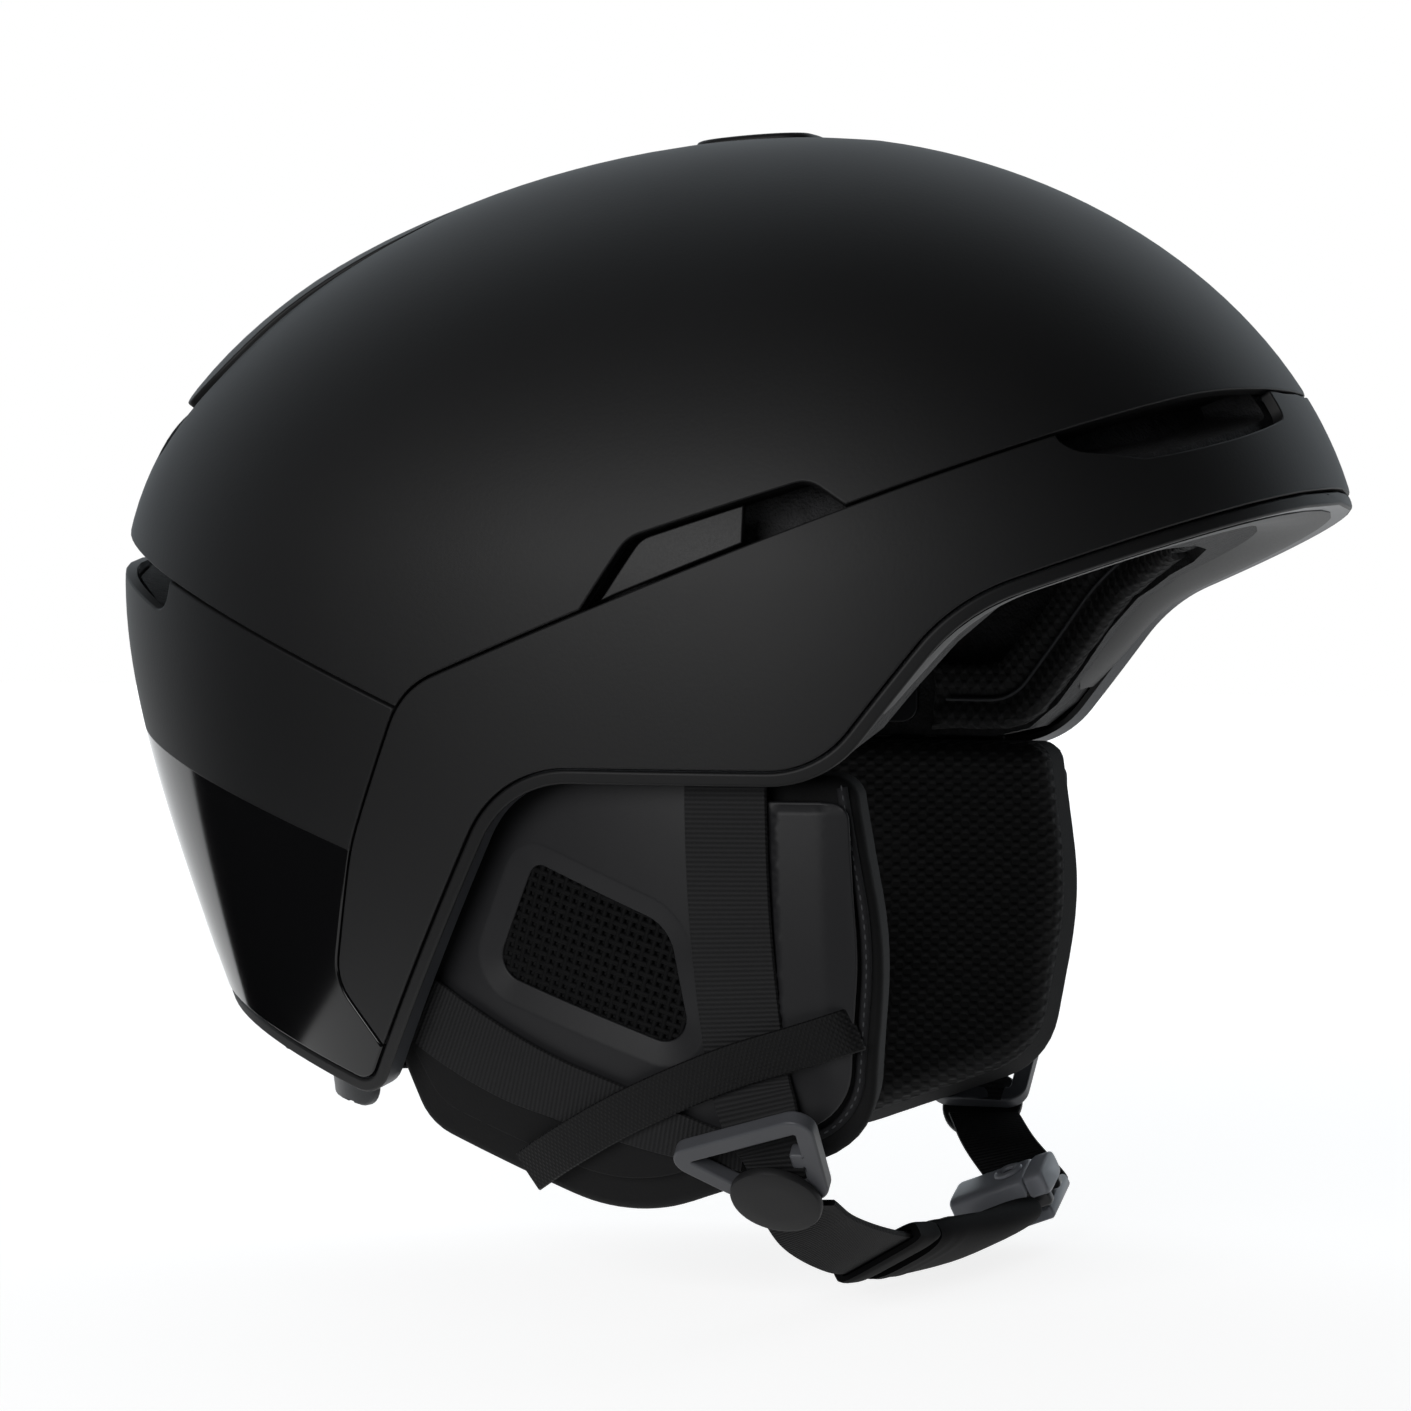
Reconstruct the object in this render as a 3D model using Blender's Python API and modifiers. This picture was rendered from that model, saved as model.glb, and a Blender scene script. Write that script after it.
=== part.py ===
"""Ski helmet: panelled hard shell on a foam liner, with fit system, vents, ear pads, straps and buckle.

Metres, +Z up, brim towards -Y. The origin lies midway between the ears, 27 mm under the shell's edge there.
"""
import math
from collections import namedtuple

import bmesh
import bpy
from mathutils import Matrix, Vector

# Outer form: widest level, reaches from its centre, and how the plan draws in below it
HALF_WIDTH = 0.110
FRONT_REACH = 0.126
BACK_REACH = 0.161
CROWN_HEIGHT = 0.101
CENTRE_Y = -0.0245
WIDEST_Z = 0.069
PLAN_POWER = 2.2
ARCH_POWER = 1.9
TAPER = 2.6
TAPER_START = 0.0465
FORM_DEPTH = 0.135

# Shell, foam and the gaps between pieces
SHELL_WALL = 0.0025
LINER_GAP = 0.0008
SEAM = 0.0005
FIT = 0.0004
LINER_SIDE = 0.026
LINER_FRONT = 0.034
LINER_BACK = 0.035
LINER_TOP = 0.025
CAVITY_TAPER = 1.2

# Edge trim along the rim
HEM_HEIGHT = 0.003
HEM_DEPTH = 0.005
HEM_SET_BACK = 0.0003

# Side-view outlines, each corner as (y, z, radius)
FAR = 0.25
BROW_SLOPE = 0.388
RIM_BROW = (-0.0886, 0.063)
EAR_RIM_Z = 0.027
RIM = [
    (-FAR, RIM_BROW[1] + BROW_SLOPE * (FAR + RIM_BROW[0]), 0),
    (RIM_BROW[0], RIM_BROW[1], 0.040),
    (-0.060, EAR_RIM_Z, 0.025),
    (0.0095, EAR_RIM_Z, 0.025),
    (0.051, -0.045, 0.008),
    (FAR, 0.0187, 0),
    (FAR, FAR, 0),
    (-FAR, FAR, 0),
]
BAND = [
    (-FAR, 0.111, 0),
    (-0.131, 0.1104, 0.040),
    (0.0335, 0.0463, 0.020),
    (0.050, 0.012, 0.060),
    (0.0585, -0.018, 0.010),
    (0.038, -0.044, 0),
    (0.038, -FAR, 0),
    (-FAR, -FAR, 0),
]
REAR_SEAM_START = (0.020, 0.0359)
REAR_SEAM_SLOPE = 0.41
REAR = [
    (REAR_SEAM_START[0], REAR_SEAM_START[1], 0),
    (REAR_SEAM_START[0], -FAR, 0),
    (FAR, -FAR, 0),
    (FAR, REAR_SEAM_START[1] + REAR_SEAM_SLOPE * (FAR - REAR_SEAM_START[0]), 0),
]

# Vents: side and rear ones in side view, front ones as (x, z), top ones as (x, y)
SIDE_VENT = [(-0.0665, 0.0840, 0), (-0.0570, 0.0905, 0.006), (-0.0195, 0.0785, 0.008), (-0.0060, 0.0590, 0)]
SIDE_VENT_COVER = [(-0.0435, 0.0795, 0), (-0.0435, 0.0845, 0), (-0.0220, 0.0775, 0.006), (-0.0135, 0.0670, 0)]
COVER_RECESS = 0.0022
COVER_WALL = 0.0018
REAR_VENT = [(0.0985, 0.075, 0), (0.1035, 0.0615, 0.004), (FAR, 0.1215, 0), (FAR, 0.140, 0)]
FRONT_VENT = [(0.0215, FAR, 0), (0.0215, 0.1045, 0.003), (0.070, 0.0950, 0.006), (0.082, 0.0965, 0.003),
              (0.082, FAR, 0)]
VENT_DEPTH = 0.014
SPINE_WINDOW = [(-0.036, 0.050, 0.014), (0.036, 0.050, 0.014), (0.052, 0.098, 0.016), (0.047, 0.1185, 0.008),
                (-0.047, 0.1185, 0.008), (-0.052, 0.098, 0.016)]
SPINE_END_Y = 0.111
SPINE_PROUD = 0.0010
EXHAUST_START_Y = 0.096

# Crown channel, its ducts, and the slider that opens them
CHANNEL_HALF_WIDTH = 0.016
CHANNEL_FRONT_Y = -0.078
CHANNEL_DEPTH = 0.0135
SLIDER_RADIUS = 0.200
SLIDER_TRAVEL = 0.014
SLIDER_LENGTH = 0.028
SLIDER_HALF_WIDTH = 0.012
SLIDER_REAR_Y = 0.0005
SLIDER_PROUD = 0.0014
SLIDER_SUNK = 0.0008
SLIDER_BED_DEPTH = 0.0012
SLIDER_BED_MARGIN = 0.002
STEM_HALF_WIDTH = 0.0035
STEM_LENGTH = 0.010
GRIP_COUNT = 4
GRIP_PITCH = 0.004
GRIP_GROOVE = 0.0016
GRIP_DEPTH = 0.0004
DUCT_HALF_WIDTH = 0.008
DUCT_LENGTH = 0.012
DUCT_COUNT = 3
SHUTTER_WALL = 0.0015
SHUTTER_HALF_WIDTH = 0.0125
SHUTTER_LIFT = 0.0027

# Comfort pads
PAD = 0.006
BROW_PAD_LOW = 0.005
BROW_PAD_HIGH = 0.022
BROW_PAD_END_Y = -0.032
SIDE_PAD = [(-0.022, 0.052, 0.006), (0.058, 0.052, 0.006), (0.050, 0.086, 0.010), (-0.016, 0.086, 0.010)]
CROWN_PAD = [(-0.030, -0.075, 0.020), (0.030, -0.075, 0.020), (0.034, 0.050, 0.020), (-0.034, 0.050, 0.020)]
CROWN_PAD_RIB = 0.019

# Fit system: side bands, cradle round the back of the head, dial
FIT_BAND = [(-0.028, 0.0335, 0.004), (0.056, 0.0335, 0.004), (0.056, 0.0455, 0.004), (-0.028, 0.0455, 0.004)]
FIT_BAND_WALL = 0.0015
CRADLE_WALL = 0.002
CRADLE_GAP = 0.0025
CRADLE = [(0.018, 0.0345, 0.003), (0.048, 0.0345, 0.012), (0.070, -0.018, 0.020), (0.062, -0.032, 0.008),
          (0.060, -0.050, 0.005), (FAR, -0.046, 0), (FAR, -0.002, 0), (0.082, -0.002, 0.020),
          (0.056, 0.0445, 0.012), (0.018, 0.0445, 0.003)]
CRADLE_TRAVEL = 0.010
CRADLE_SLOT_Y = 0.024
CRADLE_SLOT_HEIGHT = 0.0034
NAPE_PAD = [(0.066, -0.040, 0.006), (FAR, -0.036, 0), (FAR, -0.010, 0), (0.078, -0.010, 0.010)]
NAPE_PAD_THICK = 0.005
DIAL_Z = -0.031
DIAL_RADIUS = 0.0135
DIAL_LENGTH = 0.0065
DIAL_LOBES = 18
DIAL_LOBE_DEPTH = 0.0007
HOUSING_HALF_WIDTH = 0.021
HOUSING_HALF_HEIGHT = 0.012
HOUSING_LENGTH = 0.006
DIAL_ROOM = 0.004

# Goggle clip in the lower back
CLIP_HALF_WIDTH = 0.038
CLIP_TOP_Z = -0.006
CLIP_BOTTOM_Z = -0.018
CLIP_POCKET = 0.011
CLIP_AXIS_Z = -0.017
CLIP_AXIS_INSET = 0.0064
KNUCKLE_RADIUS = 0.0020
KNUCKLE_HALF_WIDTH = 0.0065
CLIP_PIN_RADIUS = 0.001
BRACKET_WALL = 0.003
BRACKET_BASE = 0.002
BRACKET_BOTTOM_Z = -0.0226
BRACKET_EYE_RADIUS = 0.0019
SCOOP_HALF_WIDTH = 0.034
SCOOP_HALF_HEIGHT = 0.009
SCOOP_DEPTH = 0.0018

# Ear pads: plate surface, outlines in side view
EAR_INSET = 0.0132
EAR_MIDDLE_Y = -0.035
EAR_PLAN_RADIUS = 0.170
EAR_HANG_RADIUS = 0.215
EAR_PLATE_WALL = 0.002
EAR_PLATE_TOP_Z = 0.0293
EAR_BINDING_Z = 0.0238
EAR_TAB_HEIGHT = 0.009
EAR_TAB_WIDTH = 0.009
EAR_TABS_Y = (-0.0090, -0.0215)
EAR_PLATE = [(-0.030, EAR_PLATE_TOP_Z, 0), (-0.036, EAR_BINDING_Z, 0), (-0.0628, EAR_BINDING_Z, 0.004),
             (-0.0640, -0.010, 0.080), (-0.0600, -0.0425, 0.016), (-0.0090, -0.0615, 0.040), (0.0385, -0.0455, 0.012),
             (0.0455, -0.0320, 0.004), (0.0105, EAR_PLATE_TOP_Z, 0.024)]
EAR_PAD = [(-0.0610, EAR_PLATE_TOP_Z, 0.003), (-0.0665, -0.006, 0.080), (-0.0615, -0.0450, 0.018),
           (-0.0090, -0.0645, 0.040), (0.0390, -0.0475, 0.012), (0.0448, -0.0320, 0.004),
           (0.0095, EAR_PLATE_TOP_Z, 0.024)]
EAR_BEZEL = [(0.0105, 0.0150, 0.006), (-0.0254, 0.0046, 0.006), (-0.0294, -0.0350, 0.009), (0.0242, -0.0182, 0.006)]
BEZEL_WIDTH = 0.0045
BEZEL_RECESS = 0.0012
RIDGE_PROUD = 0.0012
EAR_RIDGE = [(-0.0465, 0.0225, 0.002), (-0.0575, 0.0225, 0.002), (-0.0562, -0.0160, 0.002), (-0.0475, -0.0160, 0.002)]
MESH_WALL = 0.0010
MESH_MARGIN = 0.002
MESH_PITCH = 0.0062
MESH_HOLE = 0.0040
MESH_TURN = 18
CUSHION_THICK = 0.0165
CUSHION_POWER = 0.5
EAR_HOLLOW = 0.005
EAR_HOLLOW_REACH = 0.030
EAR_CENTRE = (-0.010, -0.014)

# Webbing over the ear pad: (y, z, height over the plate, width) along each strap
WEB_WALL = 0.0014
FRONT_STRAP = [(-0.0370, 0.0460, 0.0004, 0.018), (-0.0370, 0.0270, 0.0004, 0.018), (-0.0374, 0.0000, 0.0004, 0.018),
               (-0.0384, -0.0220, 0.0004, 0.018), (-0.0394, -0.0350, 0.0005, 0.018),
               (-0.0404, -0.0410, 0.0012, 0.018), (-0.0414, -0.0460, 0.0022, 0.016),
               (-0.0424, -0.0505, 0.0024, 0.013), (-0.0430, -0.0548, 0.0024, 0.011)]
REAR_STRAP = [(0.0500, -0.0180, 0.0004, 0.017), (0.0347, -0.0274, 0.0004, 0.017), (0.0192, -0.0350, 0.0004, 0.016),
              (0.0060, -0.0397, 0.0004, 0.014), (-0.0080, -0.0440, 0.0004, 0.013),
              (-0.0195, -0.0476, 0.0004, 0.011), (-0.0285, -0.0500, 0.0004, 0.009)]
ELASTIC = [(0.0160, -0.0592, 0.0014, 0.0095), (0.0050, -0.0524, 0.0024, 0.0095), (-0.0124, -0.0429, 0.0026, 0.0095),
           (-0.0344, -0.0332, 0.0026, 0.0095), (-0.0520, -0.0274, 0.0026, 0.0095), (-0.0640, -0.0233, 0.0014, 0.0095)]
ELASTIC_WALL = 0.0011
ANCHOR_RADIUS = 0.005
ANCHOR_WALL = 0.0022
POCKET_MARGIN = 0.0015

# Strap dividers, tilted under the jaw, outline as (forward, down) in their own plane
DIVIDER_PLACE = (-0.0450, -0.0415)
DIVIDER_STAND_OFF = 0.0132
DIVIDER_TILT = 44
DIVIDER_WALL = 0.0036
DIVIDER_BAR = 0.0042
DIVIDER = [(-0.0262, 0.0135, 0.0045), (0.0115, -0.0027, 0.0045), (0.0105, 0.0260, 0.005), (-0.0110, 0.0260, 0.006)]
TOOTH = 0.0022
DIVIDER_CAP_PLACE = (-0.0010, 0.0240)
DIVIDER_CAP_RADIUS = 0.0100
DIVIDER_CAP_WALL = 0.0022

# Chin strap, from the right divider's lower bar to the left one: (share of the way from the middle, y, z), then
# how its width leans (y, z)
CHIN_WIDTH = 0.018
CHIN_START_INSET = 0.00273
CHIN_RIGHT = [((-1.000, -0.0460, -0.0624), (-1.00, 0.05)), ((-0.846, -0.0476, -0.0703), (-0.92, 0.38)),
              ((-0.615, -0.0510, -0.0768), (-0.85, 0.52)), ((-0.385, -0.0526, -0.0799), (-0.86, 0.50)),
              ((-0.103, -0.0562, -0.0814), (-0.86, 0.50)), ((0.192, -0.0602, -0.0824), (-0.88, 0.46)),
              ((0.385, -0.0616, -0.0820), (-0.91, 0.41)), ((0.459, -0.0614, -0.0806), (-0.93, 0.37))]
CHIN_LEFT = [((0.885, -0.0525, -0.0685), (-0.97, 0.20)), ((1.000, -0.0460, -0.0624), (-1.00, 0.05))]
KEEPER_STATION = 2.95
KEEPER_WALL = 0.0018
SLEEVE_STATIONS = (3.36, 6.5)
SLEEVE_THICK = 0.0080
SLEEVE_WIDTH = 0.0225
SOCKET_LENGTH = 0.014
SOCKET_THICK = 0.0050
BUCKLE_WIDTH = 0.0245
TONGUE_THICK = 0.0036
TONGUE_REACH = 0.0085
TONGUE_BAR = 0.0034
KEY_WIDTH = 0.007
KEY_HEIGHT = 0.002
BUCKLE_ROUND = 0.0010

# How finely round things are drawn
FORM_COLUMNS = 32
FORM_ROWS = 16
CAVITY_COLUMNS = 24
CAVITY_ROWS = 12
ARC_STEP = 26
WEB_STEPS = 4
ROUND_SIDES = 24

Form = namedtuple("Form", "half_width front back crown taper columns rows")
OUTER = Form(HALF_WIDTH, FRONT_REACH, BACK_REACH, CROWN_HEIGHT, TAPER, FORM_COLUMNS, FORM_ROWS)
CAVITY = Form(HALF_WIDTH - LINER_SIDE, FRONT_REACH - LINER_FRONT, BACK_REACH - LINER_BACK,
              CROWN_HEIGHT - LINER_TOP, CAVITY_TAPER, CAVITY_COLUMNS, CAVITY_ROWS)
LINER_INSET = SHELL_WALL + LINER_GAP
CROWN_Z = WIDEST_Z + CROWN_HEIGHT
SIDES = {"right": -1, "left": 1}

for existing in list(bpy.data.objects):
    bpy.data.objects.remove(existing)
parts = bpy.data.collections.new("ski_helmet")
cutters = bpy.data.collections.new("cutters")
for collection in (parts, cutters):
    bpy.context.scene.collection.children.link(collection)


# Materials

def finish(name, colour, roughness, metallic=0.0):
    """Return a Principled material; the colour is linear."""
    material = bpy.data.materials.new(name)
    material.use_nodes = True
    shader = material.node_tree.nodes["Principled BSDF"]
    shader.inputs["Base Color"].default_value = (*colour, 1.0)
    shader.inputs["Roughness"].default_value = roughness
    shader.inputs["Metallic"].default_value = metallic
    return material


MATTE = finish("matte_shell", (0.012, 0.012, 0.013), 0.45)
GLOSS = finish("gloss_shell", (0.004, 0.004, 0.004), 0.08)
TRIM = finish("soft_trim", (0.018, 0.018, 0.019), 0.6)
FOAM = finish("liner_foam", (0.020, 0.020, 0.021), 0.85)
MOULDED = finish("moulded_plastic", (0.016, 0.016, 0.017), 0.5)
MESH = finish("ear_mesh", (0.008, 0.008, 0.008), 0.6)
KNIT = finish("pad_knit", (0.014, 0.014, 0.015), 0.95)
WEBBING = finish("webbing", (0.013, 0.013, 0.014), 0.9)
ELASTIC_WEAVE = finish("elastic", (0.010, 0.010, 0.011), 0.9)
BUCKLE_GREY = finish("buckle_plastic", (0.030, 0.031, 0.033), 0.4)
RUBBER = finish("keeper_rubber", (0.010, 0.010, 0.010), 0.55)
STEEL = finish("pin_steel", (0.45, 0.45, 0.46), 0.3, 1.0)


# Outlines

def rounded(corners):
    """Return an outline's points, with an arc in each corner that has a radius."""
    points = []
    for index, (across, up, radius) in enumerate(corners):
        here = Vector((across, up))
        if radius == 0:
            points.append(here)
            continue
        back = (Vector(corners[index - 1][:2]) - here).normalized()
        ahead = (Vector(corners[(index + 1) % len(corners)][:2]) - here).normalized()
        half = back.angle(ahead) / 2
        reach = radius / math.tan(half)
        centre = here + (back + ahead).normalized() * (radius / math.sin(half))
        start = here + back * reach - centre
        end = here + ahead * reach - centre
        first = math.atan2(start.y, start.x)
        turn = math.remainder(math.atan2(end.y, end.x) - first, math.tau)
        steps = max(2, math.ceil(abs(math.degrees(turn)) / ARC_STEP))
        for step in range(steps + 1):
            angle = first + turn * step / steps
            points.append(centre + Vector((math.cos(angle), math.sin(angle))) * radius)
    return points


def grown(corners, distance):
    """Return the corners moved outwards by a distance, with radii to match."""
    flat = [Vector(corner[:2]) for corner in corners]
    area = sum(flat[i - 1].cross(flat[i]) for i in range(len(flat)))
    facing = math.copysign(1, area)
    moved = []
    for index, here in enumerate(flat):
        arrive = (here - flat[index - 1]).normalized()
        leave = (flat[(index + 1) % len(flat)] - here).normalized()
        out_a = Vector((arrive.y, -arrive.x)) * facing
        out_b = Vector((leave.y, -leave.x)) * facing
        place = here + (out_a + out_b) * (distance / (1 + out_a.dot(out_b)))
        bulge = math.copysign(1, arrive.cross(leave) * facing)
        radius = corners[index][2]
        moved.append((place.x, place.y, max(radius + bulge * distance, 0.0002) if radius else 0))
    return moved


def mirrored(corners):
    return [(-across, up, radius) for across, up, radius in reversed(corners)]


def smooth(points, steps=WEB_STEPS):
    """Return points on a smooth curve through the given ones."""
    points = [Vector(point) for point in points]
    ends = [points[0] * 2 - points[1], *points, points[-1] * 2 - points[-2]]
    curve = []
    for a, b, c, d in zip(ends, ends[1:], ends[2:], ends[3:]):
        for step in range(steps):
            t = step / steps
            curve.append(0.5 * (2 * b + (c - a) * t + (2 * a - 5 * b + 4 * c - d) * t * t
                                + (3 * b - a - 3 * c + d) * t ** 3))
    return [*curve, points[-1]]


# Objects, cutters and Boolean cuts

def add(name, mesh, material=None, place=None):
    """Add a mesh as a part, or as a cutter where it has no material."""
    thing = bpy.data.objects.new(name, mesh)
    if place is not None:
        thing.matrix_world = place
    if material is None:
        cutters.objects.link(thing)
        thing.hide_render = True
        thing.display_type = "WIRE"
    else:
        parts.objects.link(thing)
        mesh.materials.clear()
        mesh.materials.append(material)
        mesh.shade_smooth()
        mesh.set_sharp_from_angle(angle=math.radians(35))
    return thing


def combine(thing, operation, *others):
    for other in others:
        change = thing.modifiers.new(other.name, "BOOLEAN")
        change.operation = operation
        change.object = other
    return thing


def cut(thing, *others):
    return combine(thing, "DIFFERENCE", *others)


def keep(thing, *others):
    return combine(thing, "INTERSECT", *others)


def join(thing, *others):
    return combine(thing, "UNION", *others)


def finished_mesh(name, shape):
    mesh = bpy.data.meshes.new(name)
    shape.to_mesh(mesh)
    shape.free()
    return mesh


TURNS = {
    "X": Matrix(((0, 0, 1), (1, 0, 0), (0, 1, 0))).to_4x4(),
    "Y": Matrix(((1, 0, 0), (0, 0, -1), (0, 1, 0))).to_4x4(),
    "Z": Matrix.Identity(4),
}


def prism(name, loops, axis, start, end, material=None, place=None):
    """Extrude outlines along an axis from start to end; a loop inside another is a hole."""
    flat = bpy.data.curves.new(name, "CURVE")
    flat.dimensions = "2D"
    flat.fill_mode = "BOTH"
    flat.extrude = (end - start) / 2
    for loop in loops:
        points = rounded(loop)
        spline = flat.splines.new("POLY")
        spline.points.add(len(points) - 1)
        for point, spot in zip(spline.points, points):
            point.co = (spot.x, spot.y, 0, 1)
        spline.use_cyclic_u = True
    curve = bpy.data.objects.new(name, flat)
    cutters.objects.link(curve)
    mesh = bpy.data.meshes.new_from_object(curve.evaluated_get(bpy.context.evaluated_depsgraph_get()))
    bpy.data.objects.remove(curve)
    mesh.name = name
    shape = bmesh.new()
    shape.from_mesh(mesh)
    bmesh.ops.remove_doubles(shape, verts=shape.verts, dist=1e-6)
    middle = Matrix.Translation((0, 0, (start + end) / 2))
    if axis == "Y":
        middle = Matrix.Translation((0, 0, -(start + end) / 2))
    shape.transform(TURNS[axis] @ middle)
    bmesh.ops.recalc_face_normals(shape, faces=shape.faces)
    shape.to_mesh(mesh)
    shape.free()
    return add(name, mesh, material, place)


def side_prism(name, corners, side=0, material=None):
    """Extrude a side-view outline across both sides, or over one side only."""
    start, end = {0: (-FAR, FAR), -1: (-FAR, -0.01), 1: (0.01, FAR)}[side]
    return prism(name, [corners], "X", start, end, material)


def box(name, low, high, material=None, rounding=0.0, place=None):
    """Return a box between two corners, with rounded edges where asked."""
    shape = bmesh.new()
    bmesh.ops.create_cube(shape, size=1.0)
    size = Vector(high) - Vector(low)
    middle = (Vector(high) + Vector(low)) / 2
    shape.transform(Matrix.Translation(middle) @ Matrix.Diagonal((*size, 1)))
    thing = add(name, finished_mesh(name, shape), material, place)
    if rounding:
        bevel = thing.modifiers.new("rounding", "BEVEL")
        bevel.width = rounding
        bevel.segments = 2
    return thing


def rod(name, radius, start, end, material=None, sides=ROUND_SIDES):
    """Return a cylinder between two points."""
    shape = bmesh.new()
    run = Vector(end) - Vector(start)
    bmesh.ops.create_cone(shape, cap_ends=True, segments=sides, radius1=radius, radius2=radius, depth=run.length)
    turn = run.to_track_quat("Z", "Y").to_matrix().to_4x4()
    shape.transform(Matrix.Translation((Vector(start) + Vector(end)) / 2) @ turn)
    return add(name, finished_mesh(name, shape), material)


# The helmet's own rounded forms

def plan_scale(form, z):
    """Return the share of the full plan that a form has at a height below its widest level."""
    return 1 - form.taper * (math.hypot(z - WIDEST_Z, TAPER_START) - TAPER_START)


def form_point(form, inset, polar, azimuth):
    """Return a form's surface point; polar runs from the crown at 0 to the open bottom at pi."""
    if polar < math.pi / 2:
        z = WIDEST_Z + (form.crown - inset) * math.cos(polar) ** (2 / ARCH_POWER)
        scale = math.sin(polar) ** (2 / ARCH_POWER)
    else:
        z = WIDEST_Z - FORM_DEPTH * min(1, (polar - math.pi / 2) / (math.pi * (0.5 - 1 / form.rows)))
        scale = plan_scale(form, z)
    across, along = math.cos(azimuth), math.sin(azimuth)
    scale *= (abs(across) ** PLAN_POWER + abs(along) ** PLAN_POWER) ** (-1 / PLAN_POWER)
    reach = form.back if along > 0 else form.front
    return Vector((scale * (form.half_width - inset) * across, CENTRE_Y + scale * (reach - inset) * along, z))


def dome(name, form, inset, material=None):
    """Return a closed solid of a form, drawn in from its surface by an inset."""
    shape = bmesh.new()
    bmesh.ops.create_uvsphere(shape, u_segments=form.columns, v_segments=form.rows, radius=1.0)
    for vert in shape.verts:
        polar = math.acos(max(-1, min(1, vert.co.z)))
        flat_end = polar > math.pi - 1e-4
        azimuth = math.atan2(vert.co.y, vert.co.x)
        vert.co = form_point(form, inset, polar, azimuth)
        if flat_end:
            vert.co.x, vert.co.y = 0, CENTRE_Y
    return add(name, finished_mesh(name, shape), material)


def layer(name, form, outer, inner, material=None):
    """Return the part of a form between two insets."""
    return cut(dome(name, form, outer, material), dome(f"{name}_core", form, inner))


def pocket(name, outline, depth):
    """Return a cutter that sinks an outline into the outer form by a depth."""
    return keep(layer(name, OUTER, -LINER_INSET, depth), outline)


def back_y(z, inset=0.0):
    return CENTRE_Y + plan_scale(OUTER, z) * (BACK_REACH - inset)


# Hard shell

above_rim = side_prism("above_rim", RIM)
above_hem = side_prism("above_hem", grown(RIM, -HEM_HEIGHT))
above_shell_edge = side_prism("above_shell_edge", grown(RIM, -HEM_HEIGHT - FIT))
band_region = side_prism("band_region", BAND)
band_clear = side_prism("band_clear", grown(BAND, SEAM))
rear_region = side_prism("rear_region", REAR)
rear_clear = side_prism("rear_clear", grown(REAR, SEAM))
side_vents = side_prism("side_vents", SIDE_VENT)
rear_vent = side_prism("rear_vent", REAR_VENT)
front_vents = [keep(prism(f"front_vent_{name}", [FRONT_VENT if side > 0 else mirrored(FRONT_VENT)], "Y", -FAR, CENTRE_Y),
                    band_clear) for name, side in SIDES.items()]
spine_window = prism("spine_window", [SPINE_WINDOW], "Z", 0.08, FAR)


def shell_panel(name, material):
    return keep(layer(name, OUTER, 0, SHELL_WALL, material), above_shell_edge)


def crown_slot(name, half_width, front, back, corner, low, high):
    """Return an upright cutter through the crown with rounded corners."""
    corners = [(-half_width, front, corner), (half_width, front, corner),
               (half_width, back, corner), (-half_width, back, corner)]
    return prism(name, [corners], "Z", low, high)


slider_front_y = SLIDER_REAR_Y - SLIDER_LENGTH
bed_outline = crown_slot("slider_bed_outline", SLIDER_HALF_WIDTH + SLIDER_BED_MARGIN,
                         slider_front_y - SLIDER_TRAVEL - SLIDER_BED_MARGIN, SLIDER_REAR_Y + SLIDER_BED_MARGIN,
                         0.008, CROWN_Z - 0.03, FAR)
slider_bed = pocket("slider_bed", bed_outline, SLIDER_BED_DEPTH)
stem_y = SLIDER_REAR_Y - SLIDER_LENGTH / 2
stem_slot = crown_slot("stem_slot", STEM_HALF_WIDTH + FIT, stem_y - STEM_LENGTH / 2 - SLIDER_TRAVEL - 4 * FIT,
                       stem_y + STEM_LENGTH / 2 + 4 * FIT, 0.002, CROWN_Z - 0.012, FAR)

upper_shell = shell_panel("upper_shell", MATTE)
cut(upper_shell, band_clear, rear_clear, side_vents, spine_window, slider_bed, stem_slot)

brim_shell = keep(shell_panel("brim_shell", MATTE), band_region)
cut(brim_shell, *front_vents)

clip_outline = [(-CLIP_HALF_WIDTH, CLIP_BOTTOM_Z, 0.003), (CLIP_HALF_WIDTH, CLIP_BOTTOM_Z, 0.003),
                (CLIP_HALF_WIDTH, CLIP_TOP_Z, 0.005), (-CLIP_HALF_WIDTH, CLIP_TOP_Z, 0.005)]
window_outline = [(-CLIP_HALF_WIDTH - SEAM, -0.06, 0), (CLIP_HALF_WIDTH + SEAM, -0.06, 0),
                  (CLIP_HALF_WIDTH + SEAM, CLIP_TOP_Z + SEAM, 0.005),
                  (-CLIP_HALF_WIDTH - SEAM, CLIP_TOP_Z + SEAM, 0.005)]
clip_window = prism("clip_window", [window_outline], "Y", 0.05, FAR)

scoop_shape = bmesh.new()
bmesh.ops.create_uvsphere(scoop_shape, u_segments=20, v_segments=10, radius=1.0)
scoop_shape.transform(Matrix.Diagonal((SCOOP_HALF_WIDTH, 4 * SCOOP_DEPTH, SCOOP_HALF_HEIGHT, 1)))
scoop_z = CLIP_TOP_Z + SCOOP_HALF_HEIGHT / 2
scoop = add("finger_scoop", finished_mesh("finger_scoop", scoop_shape),
            place=Matrix.Translation((0, back_y(scoop_z) + 3 * SCOOP_DEPTH, scoop_z)))

rear_shell = keep(shell_panel("rear_shell", GLOSS), rear_region)
cut(rear_shell, band_clear, rear_vent, clip_window, scoop)

base_rim = cut(keep(layer("base_rim", OUTER, HEM_SET_BACK, HEM_DEPTH, TRIM), above_rim), above_hem)

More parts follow.
